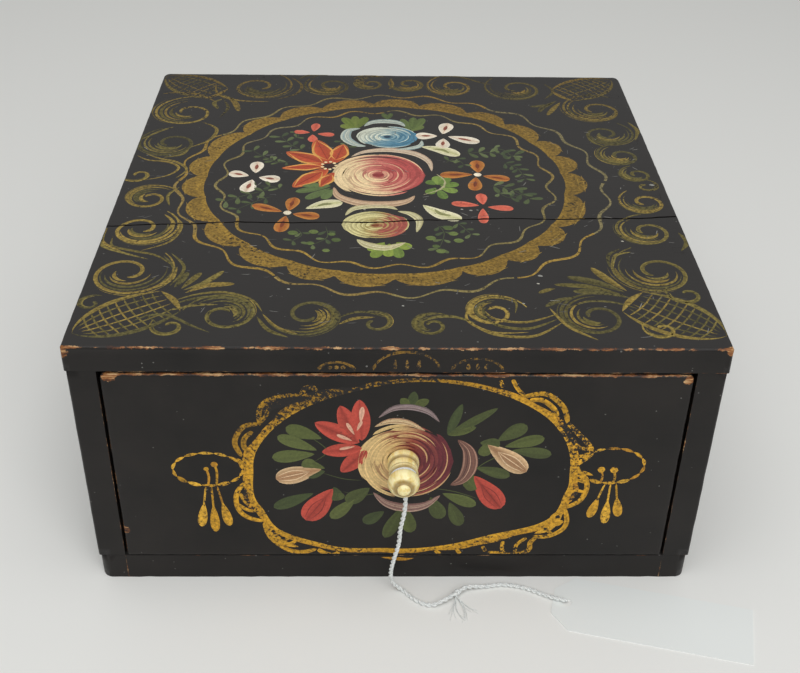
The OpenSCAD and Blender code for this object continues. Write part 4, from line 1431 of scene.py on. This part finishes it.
for start, end in blades:
    stroke_petal(bunch, start, end, 5.0, random.choice(SAGE[:3]), lift=0.01, shape=leaf)
stems = [
    ((-30, 60), (-22, 57), (-14, 56)), ((-33, 66), (-28, 72), (-36, 80)), ((30, 60), (36, 66), (46, 72)),
    ((-22, 50), (-14, 48), (-4, 50)), ((14, 52), (24, 50), (34, 46)),
]
for points in stems:
    brush(bunch, through(*points), leaf(1.0), SAGE[0], lift=0.0, steps=10, lines=2)
print("blades:", len(blades), "stems:", len(stems))

# %% [markdown]
# The red lily has five petals with paler touches on them. Two pale buds and two red ones hang from the rose.

# %% Red lily and buds on the drawer
def scarlet(t, s):
    """Red petals are darker in the middle."""
    return mixed(["#8f3329", "#b8483a", "#b04436"], abs(s))


def pale(t, s):
    """Pale buds have a tan middle and a cream rim."""
    return mixed(["#966f4e", "#b08a64", "#cfb38b"], abs(s))


red_lily = [
    ((-16, 76), (-22.5, 94.5), 8.5), ((-14, 77), (-15, 97.5), 8.5), ((-15, 76), (-32.5, 86), 9),
    ((-14, 73), (-30, 71), 7.5), ((-12, 72), (-22.5, 60.5), 8),
]
for start, end, width in red_lily:
    stroke_petal(bunch, start, end, width, scarlet, shape=leaf)
touches = [
    ((-14.5, 86), (-13.8, 94), 2.6), ((-17, 80), (-20, 86), 2.0), ((-18, 77), (-24, 80), 2.2),
    ((-17, 74), (-23, 72.5), 1.8), ((-16, 82), (-14, 87), 1.8),
]
for start, end, width in touches:
    stroke_petal(bunch, start, end, width, "#cf9f86", lift=0.07)
buds = [
    ((-30.5, 62), (-49, 56.8), 9.8, pale, "#d9bd98"), ((36, 75), (52.6, 60.8), 10.2, pale, "#d9bd98"),
    ((-26, 51.5), (-37.5, 34), 11.4, scarlet, "#7a2a26"),
    ((31.5, 58.5), (43.5, 40.8), 11, scarlet, "#7a2a26"),
]
for start, end, width, colours, mark in buds:
    stroke_petal(bunch, start, end, width, colours)
    for k in (-1, 0, 1):
        a, b = Vector(start).lerp(Vector(end), 0.25), Vector(start).lerp(Vector(end), 0.94)
        side = Vector((a.y - b.y, b.x - a.x)).normalized() * 2.4 * k
        brush(bunch, through(a, (a + b) / 2 + side, b + side * 0.5), leaf(0.8), mark, lift=0.07, steps=8,
              lines=2)
leaves(bunch,
       [((-29, 62.5), (-38, 65.5)), ((-29, 61), (-36.5, 58.5)), ((-25.5, 52.5), (-24, 46.5)),
        ((35, 75.5), (35, 69)), ((31, 59.5), (28.5, 52))], SAGE, 5.6)
print("lily petals:", len(red_lily), "buds:", len(buds))

# %% [markdown]
# The rose has crescents above, beside and below it, from mauve to tan.

# %% The rose on the drawer
crescent(bunch, ((-7.5, 88.5), (-2, 93), (5, 94), (12, 91.5), (16.5, 86.5)), 3.4,
         ("#7c6a68", "#a08f92", "#55494b", "#b3a0a0"))
crescent(bunch, ((-9, 84), (-3, 86.8), (4, 86.2), (11, 82)), 3.2,
         ("#b99c74", "#d9c49c", "#8a5a4c", "#e2d2ad"))
crescent(bunch, ((24, 77.5), (28.5, 72), (29.5, 64), (27, 57), (22, 53.5)), 7.0,
         ("#6b4a40", "#a07a68", "#4c332e", "#b8947c", "#7d5548"))
crescent(bunch, ((-9.5, 49.5), (-4, 43.5), (4, 41), (12, 42.5), (18, 48)), 5.2,
         ("#8a6a60", "#b59a86", "#6b4844", "#c4ab94"))
rose(bunch, (3.2, 66.3), 19.6, 19.8, "#c9ac76", "#8a4438", "#62242c", "#4a1a20", lit=178, rings=9)
print("points in the bunch:", len(bunch.verts))

# %% [markdown]
# The front's sheets are stood up and laid on the wood. Each is cut a little short of its board's arrises,
# where the paint is gone.

# %% Lay the sheets on the front
face_on = Matrix(((1, 0, 0, 0), (0, 0, -1, 0), (0, 1, 0, 0), (0, 0, 0, 1)))
EASE = 1.4
for name, bm, material, body, y, floor_z, roof_z in (
        ("bronze_on_the_drawer", drawer_bronze, front_bronze_paint, "drawer", front_low.y, low_z + EASE,
         lid_z - EASE),
        ("bunch_on_the_drawer", bunch, oil_paint, "drawer", front_low.y, low_z + EASE, lid_z - EASE),
        ("bronze_on_the_top_edge", case_bronze, front_bronze_paint, "case", FACE_Y, under + 0.6,
         high - EASE),
        ("bronze_on_the_bottom_edge", foot_bronze, front_bronze_paint, "case", FOOT_Y, 1.0, sole - 0.6)):
    cut_between(bm, (0, -FAR, 0), (0, floor_z, 0), (0, 1, 0))
    cut_between(bm, (0, roof_z, 0), (0, FAR, 0), (0, 1, 0))
    lay_on(bm, Matrix.Translation((0, y, 0)) @ face_on)
    finish_piece(name, bm, material, body)

# %% [markdown]
# ## The bone knob
# The knob was turned on a lathe from bone: a collar, two beads, a neck and a bulb with a small nipple.
# Spinning one outline round an axis is the same work. Bone is creamy and a little greasy, with brown dirt
# in every groove, so the colour darkens where the outline is close to the axis between two beads.

# %% The outline of the knob
KNOB_STEPS = 64
PEG_R = 2.9
PEG_END = -11.5
NECK_R = 4.3
NECK_FROM = 9.9
NECK_TO = 11.5
BULB_TO = 13.6
JUST_OUT = 0.05


def bead(start, end, low, high_r, steps=7):
    """A rounded ring of the outline between two distances from the drawer."""
    return [(low + (high_r - low) * math.sin(math.pi * i / steps),
             (start + end) / 2 - (end - start) / 2 * math.cos(math.pi * i / steps))
            for i in range(steps + 1)]


def rounded(start, end, r_start, r_end, steps=8):
    """A quarter round of the outline, from one distance and radius to another."""
    row = []
    for i in range(1, steps + 1):
        a = math.radians(90 * i / steps)
        grows = r_end > r_start
        r_share, share = (math.sin(a), 1 - math.cos(a)) if grows else (1 - math.cos(a), math.sin(a))
        row.append((r_start + (r_end - r_start) * r_share, start + (end - start) * share))
    return row


knob_r = (knob_high.x - knob_low.x) / 2 / MM
knob_l = (FACE_Y - knob_low.y) / MM
nipple = knob_l - 1.5
# Each pair is a radius and a distance from the drawer's face, in mm. The peg lies inside the drawer front.
outline = [(0, PEG_END), (PEG_R, PEG_END), (PEG_R, JUST_OUT), (knob_r * 0.9, JUST_OUT)]
outline += bead(0.4, 3.8, knob_r * 0.9, knob_r)
outline += [(knob_r * 0.78, 4.1)]
outline += bead(4.4, 7.6, knob_r * 0.82, knob_r * 0.9)
outline += bead(8.1, 9.3, knob_r * 0.8, knob_r * 0.92)
outline += [(NECK_R, NECK_FROM), (NECK_R, NECK_TO)]
outline += rounded(NECK_TO, BULB_TO, NECK_R, knob_r)
outline += rounded(BULB_TO, knob_l - 1.8, knob_r, knob_r * 0.4)
outline += [(knob_r * 0.42, nipple)]
outline += rounded(nipple, knob_l, knob_r * 0.42, 0.0)
print("points in the outline:", len(outline))

# %% [markdown]
# Dirt lies in each groove between two beads, so the colour darkens by how near a point is to a groove's
# place along the axis. Fine streaks run along the bone.

# %% Old turned bone
STREAK_MM = 1.4
BLOTCH_MM = 4
BONE_STOPS = ((0.3, "#e8cb76"), (0.62, "#fff2bb"))
# Each groove is its distance from the drawer's face and how far its dirt spreads, in mm.
GROOVES = ((0.0, 0.7), (4.1, 0.75), (7.85, 0.5), (9.7, 0.8), (11.4, 0.7), (knob_l - 1.9, 0.55))
bone, tree, shader = new_material("old turned bone", 0.38)
shader.inputs["IOR"].default_value = 1.54
shader.inputs["Subsurface Weight"].default_value = 0.15
shader.inputs["Subsurface Radius"].default_value = (0.003, 0.002, 0.001)
place = add(tree, "TexCoord").outputs["Object"]
depth = add(tree, "SeparateXYZ", {"Vector": place}).outputs["Y"]
drawn = add(tree, "Mapping", {"Vector": place, "Scale": (1.0, 0.12, 1.0)}).outputs[0]
streaks = add(tree, "TexNoise", {"Vector": drawn, "Scale": every(STREAK_MM), "Detail": 4}).outputs["Fac"]
tint = add(tree, "ValToRGB", {"Fac": streaks}, BONE_STOPS).outputs["Color"]
blotch = add(tree, "TexNoise", {"Vector": place, "Scale": every(BLOTCH_MM), "Detail": 3}).outputs["Fac"]
dirt = None
for groove, spread in GROOVES:
    away = add(tree, "Math", {0: depth, 1: FACE_Y - groove * MM}, operation="SUBTRACT").outputs[0]
    away = add(tree, "Math", {0: away}, operation="ABSOLUTE").outputs[0]
    away = add(tree, "Math", {0: blotch, 1: -0.5 * spread * MM, 2: away},
               operation="MULTIPLY_ADD").outputs[0]
    near = add(tree, "MapRange", {"Value": away, "From Min": 0.0, "From Max": spread * MM,
                                  "To Min": 0.8, "To Max": 0.0}).outputs[0]
    dirt = near if dirt is None else add(tree, "Math", {0: dirt, 1: near}, operation="MAXIMUM").outputs[0]
colour = add(tree, "Mix", {0: dirt, 6: tint, 7: srgb("#8a6a30")}, data_type="RGBA").outputs[2]
tree.links.new(colour, shader.inputs["Base Color"])
bump = add(tree, "Bump", {"Height": streaks, "Strength": 0.15, "Distance": 0.1 * MM})
tree.links.new(bump.outputs["Normal"], shader.inputs["Normal"])
print("grooves with dirt:", len(GROOVES))

# %% [markdown]
# The outline is spun round the axis in a full turn, as on the lathe, and then laid on its side where the
# knob goes.

# %% Turn the knob
bm = bmesh.new()
ring = [bm.verts.new((r * MM, 0, t * MM)) for r, t in outline]
edges = [bm.edges.new(pair) for pair in zip(ring, ring[1:])]
bmesh.ops.spin(bm, geom=ring + edges, cent=(0, 0, 0), axis=(0, 0, 1), steps=KNOB_STEPS, angle=math.tau,
               use_merge=True)
bmesh.ops.remove_doubles(bm, verts=bm.verts, dist=0.005 * MM)
turn_out = Matrix.Translation((knob_x, FACE_Y, knob_z)) @ Matrix.Rotation(math.radians(90), 4, "X")
bmesh.ops.transform(bm, matrix=turn_out, verts=bm.verts)
bmesh.ops.recalc_face_normals(bm, faces=bm.faces)
finish_piece("bone_knob", bm, bone, "drawer", ["knob"])

# %% [markdown]
# ## The string and the tag
# A doubled cotton string is tied round the neck of the knob. It hangs down the front, bends at the table
# and runs to a plain card tag. Its line is drawn first, in millimetres, and its length is measured along
# that line.

# %% The string's line
TABLE_Z = 1.0
KNOT_Z = 2.1
TAG_Z = 1.6
route = [
    (3, -144, 61.4), (3.4, -144.2, 56), (3, -144.5, 49), (1.6, -144.5, 40), (1, -144, 31), (-1, -143.4, 21),
    (-2, -142, 12), (-1, -140.4, 5), (3, -141, TABLE_Z), (9, -147, TABLE_Z), (15, -149.6, TABLE_Z),
    (21, -147.6, KNOT_Z), (26, -144, KNOT_Z), (31, -140.4, KNOT_Z), (39, -139, TABLE_Z), (47, -138, TABLE_Z),
    (56, -140, TABLE_Z), (64, -144, TABLE_Z), (69, -146.6, TAG_Z), (73, -147.8, TAG_Z),
]
STATIONS = 420
string_line = through(*route)
path = [string_line(i / STATIONS) for i in range(STATIONS + 1)]
path = [Vector((p.x, p.y, max(p.z, TABLE_Z))) * MM for p in path]
string_length = sum((b - a).length for a, b in zip(path, path[1:]))
print("string length in mm:", round(string_length / MM, 1))

# %% [markdown]
# Cotton is soft and matt, with a faint sheen from its loose fibres. Real fibres are far finer than half a
# millimetre, and they are drawn that coarse so that they show.

# %% White cotton
COTTON_MM = 0.5
COTTON_STOPS = ((0.3, "#b9bfbf"), (0.6, "#f2f4f2"))
cotton, tree, shader = new_material("white twisted cotton", 0.85)
shader.inputs["Sheen Weight"].default_value = 0.3
place = add(tree, "TexCoord").outputs["Object"]
fibre = add(tree, "TexNoise", {"Vector": place, "Scale": every(COTTON_MM), "Detail": 3}).outputs["Fac"]
tint = add(tree, "ValToRGB", {"Fac": fibre}, COTTON_STOPS).outputs["Color"]
tree.links.new(tint, shader.inputs["Base Color"])
bump = add(tree, "Bump", {"Height": fibre, "Strength": 0.6, "Distance": 0.15 * MM})
tree.links.new(bump.outputs["Normal"], shader.inputs["Normal"])
print("fibres in mm:", COTTON_MM)

# %% [markdown]
# Two strands are twisted round the string's line. Each is a curve with a round section, which is then
# made a mesh.

# %% Strands as curves
def strands(name, lines, radius):
    """Round strands along lists of places, as one bmesh. A place may carry its own share of the radius."""
    curve = bpy.data.curves.new(name, "CURVE")
    curve.dimensions = "3D"
    curve.bevel_depth = radius
    curve.bevel_resolution = 1
    curve.use_fill_caps = True
    for places in lines:
        spline = curve.splines.new("POLY")
        spline.points.add(len(places) - 1)
        for point, place in zip(spline.points, places):
            point.co = (*place[:3], 1)
            point.radius = place[3] if len(place) > 3 else 1.0
    maker = bpy.data.objects.new(name, curve)
    bpy.context.scene.collection.objects.link(maker)
    graph = bpy.context.evaluated_depsgraph_get()
    mesh = bpy.data.meshes.new_from_object(maker.evaluated_get(graph))
    bm = bmesh.new()
    bm.from_mesh(mesh)
    bpy.data.objects.remove(maker)
    return bm


def twisted(places, apart, pitch, turn):
    """A strand that winds round a line of places."""
    row, gone, up = [], 0.0, Vector((1, 0, 0))
    for i, p in enumerate(places):
        ahead = (places[min(i + 1, len(places) - 1)] - places[max(i - 1, 0)]).normalized()
        up = (up - up.dot(ahead) * ahead).normalized()
        gone += (p - places[i - 1]).length if i else 0.0
        a = turn + math.tau * gone / pitch
        row.append(p + apart * (math.cos(a) * up + math.sin(a) * ahead.cross(up)))
    return row


STRAND_R = 0.55 * MM
STRAND_APART = 0.44 * MM
TWIST = 5.2 * MM
both = [twisted(path, STRAND_APART, TWIST, turn) for turn in (0.0, math.pi)]
string = finish_piece("cotton_string", strands("string", both, STRAND_R), cotton, "drawer",
                      ["tag_string"])

# %% [markdown]
# The hitch is two turns of one strand round the neck of the knob, side by side and a little uneven.

# %% The hitch round the neck
HITCH_Y = FACE_Y - 10.7 * MM
HITCH_R = (NECK_R + 0.55) * MM
HITCH_STEPS = 40


def hitch_turn(k):
    """One turn round the neck. k is 0 or 1."""
    row = []
    for i in range(HITCH_STEPS + 1):
        a = math.tau * i / HITCH_STEPS
        y = HITCH_Y + (k - 0.5) * 0.7 * MM + 0.25 * MM * math.sin(2 * a + k)
        row.append(Vector((knob_x + HITCH_R * math.cos(a), y, knob_z + HITCH_R * math.sin(a))))
    return row


hitch_bm = strands("hitch", [hitch_turn(0), hitch_turn(1)], 0.42 * MM)
hitch = finish_piece("string_round_the_neck", hitch_bm, cotton, "drawer", ["string_hitch"])

# %% [markdown]
# The knot is one overhand knot, a closed curve with three crossings. Its two cut ends have frayed into
# single fibres, which fan out and end on the table.

# %% The knot and its frayed ends
KNOT_STEPS = 48
knot_at = Vector((26, -144, KNOT_Z)) * MM
knot_way = Matrix.Rotation(math.atan2(7.2, 10), 4, "Z")
overhand = []
for i in range(KNOT_STEPS + 1):
    a = math.tau * i / KNOT_STEPS
    p = Vector((math.sin(a) + 1.6 * math.sin(2 * a), math.cos(a) - 1.6 * math.cos(2 * a),
                -1.2 * math.sin(3 * a)))
    overhand.append(knot_at + knot_way @ Vector((p.x * 0.52, p.z * 0.62, p.y * 0.52)) * MM)
fibres = []
for turn in (-100, -62):
    for k in range(7):
        a = math.radians(turn + random.uniform(-7, 7))
        bend = random.uniform(-0.35, 0.35)
        length = random.uniform(9, 14.5)
        row = []
        for i in range(9):
            t = i / 8
            out = (Vector((math.cos(a + bend * t * t), math.sin(a + bend * t * t), 0))
                   * (1.2 + length * t) * MM)
            rise = (0.5 + 0.25 * math.sin(3 * t + k) + 0.08 * k * (1 - t)) * MM
            row.append((*(Vector((knot_at.x, knot_at.y, rise)) + out), 1.0 - 0.6 * t))
        fibres.append(row)
bm = strands("knot", [overhand], 0.5 * MM)
fibre_bm = strands("fibres", fibres, 0.17 * MM)
spare = bpy.data.meshes.new("fibres")
fibre_bm.to_mesh(spare)
fibre_bm.free()
bm.from_mesh(spare)
bpy.data.meshes.remove(spare)
knot = finish_piece("knot_with_frayed_ends", bm, cotton, "drawer", ["string_knot"])

# %% [markdown]
# The tag is a stock card tag with nothing on it.

# %% The card tag
card, tree, shader = new_material("plain white card", 0.75)
shader.inputs["Base Color"].default_value = srgb("#e9ecea")
coat(("tag",), card)
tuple(path[0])

# %% [markdown]
# ## Table, light and camera
# The box was photographed from a little above the front, under a soft and even light, on a pale table.
# Here the table is one large matt square.

# %% Table
TABLE_HALF = 4.0
table_top, tree, shader = new_material("pale table", 0.9)
shader.inputs["Base Color"].default_value = srgb("#ebebe8")
shader.inputs["Specular IOR Level"].default_value = 0.1
bm = bmesh.new()
bmesh.ops.create_grid(bm, x_segments=1, y_segments=1, size=TABLE_HALF)
make_object("table_top", bm, table_top, smooth=False)

# %% [markdown]
# One large lamp stands over the box, another stands in front, and a plain grey world fills in, so that
# each colour comes out about as it is written.

# %% Light
ROOM_LIGHT = 0.47
AIM = Vector((0, 0, 0.06))
world = bpy.data.worlds.new("even room light")
bpy.context.scene.world = world
world.use_nodes = True
world.node_tree.nodes["Background"].inputs["Color"].default_value = srgb("#e3e4e3")
world.node_tree.nodes["Background"].inputs["Strength"].default_value = ROOM_LIGHT


def lamp(name, place, size, power):
    """A square soft lamp that points at the box. Its size is in metres and its power in watts."""
    data = bpy.data.lights.new(name, "AREA")
    data.size = size
    data.energy = power
    light = bpy.data.objects.new(name, data)
    light.location = place
    light.rotation_euler = (AIM - Vector(place)).to_track_quat("-Z", "Y").to_euler()
    bpy.context.scene.collection.objects.link(light)
    print(name, "at", place)


lamp("soft lamp overhead", (-0.1, -0.45, 1.5), 1.4, 10)
lamp("soft lamp at the front", (0.35, -1.3, 1.2), 1.2, 10.5)

# %% [markdown]
# The camera's place, its turn and its lens were fitted to the corners of the box in the photograph.

# %% Camera
CAMERA_AT = (-0.00885, -0.49361, 0.37616)
CAMERA_TURN = (55.387, -0.871, -0.853)
LENS = 52.94
camera = bpy.data.objects.new("camera", bpy.data.cameras.new("camera"))
camera.data.lens = LENS
camera.data.sensor_width = 36
camera.data.clip_start = 0.01
camera.location = CAMERA_AT
camera.rotation_euler = [math.radians(a) for a in CAMERA_TURN]
bpy.context.scene.collection.objects.link(camera)
bpy.context.scene.camera = camera
bpy.context.scene.view_settings.view_transform = "Standard"
print("lens in mm:", LENS)
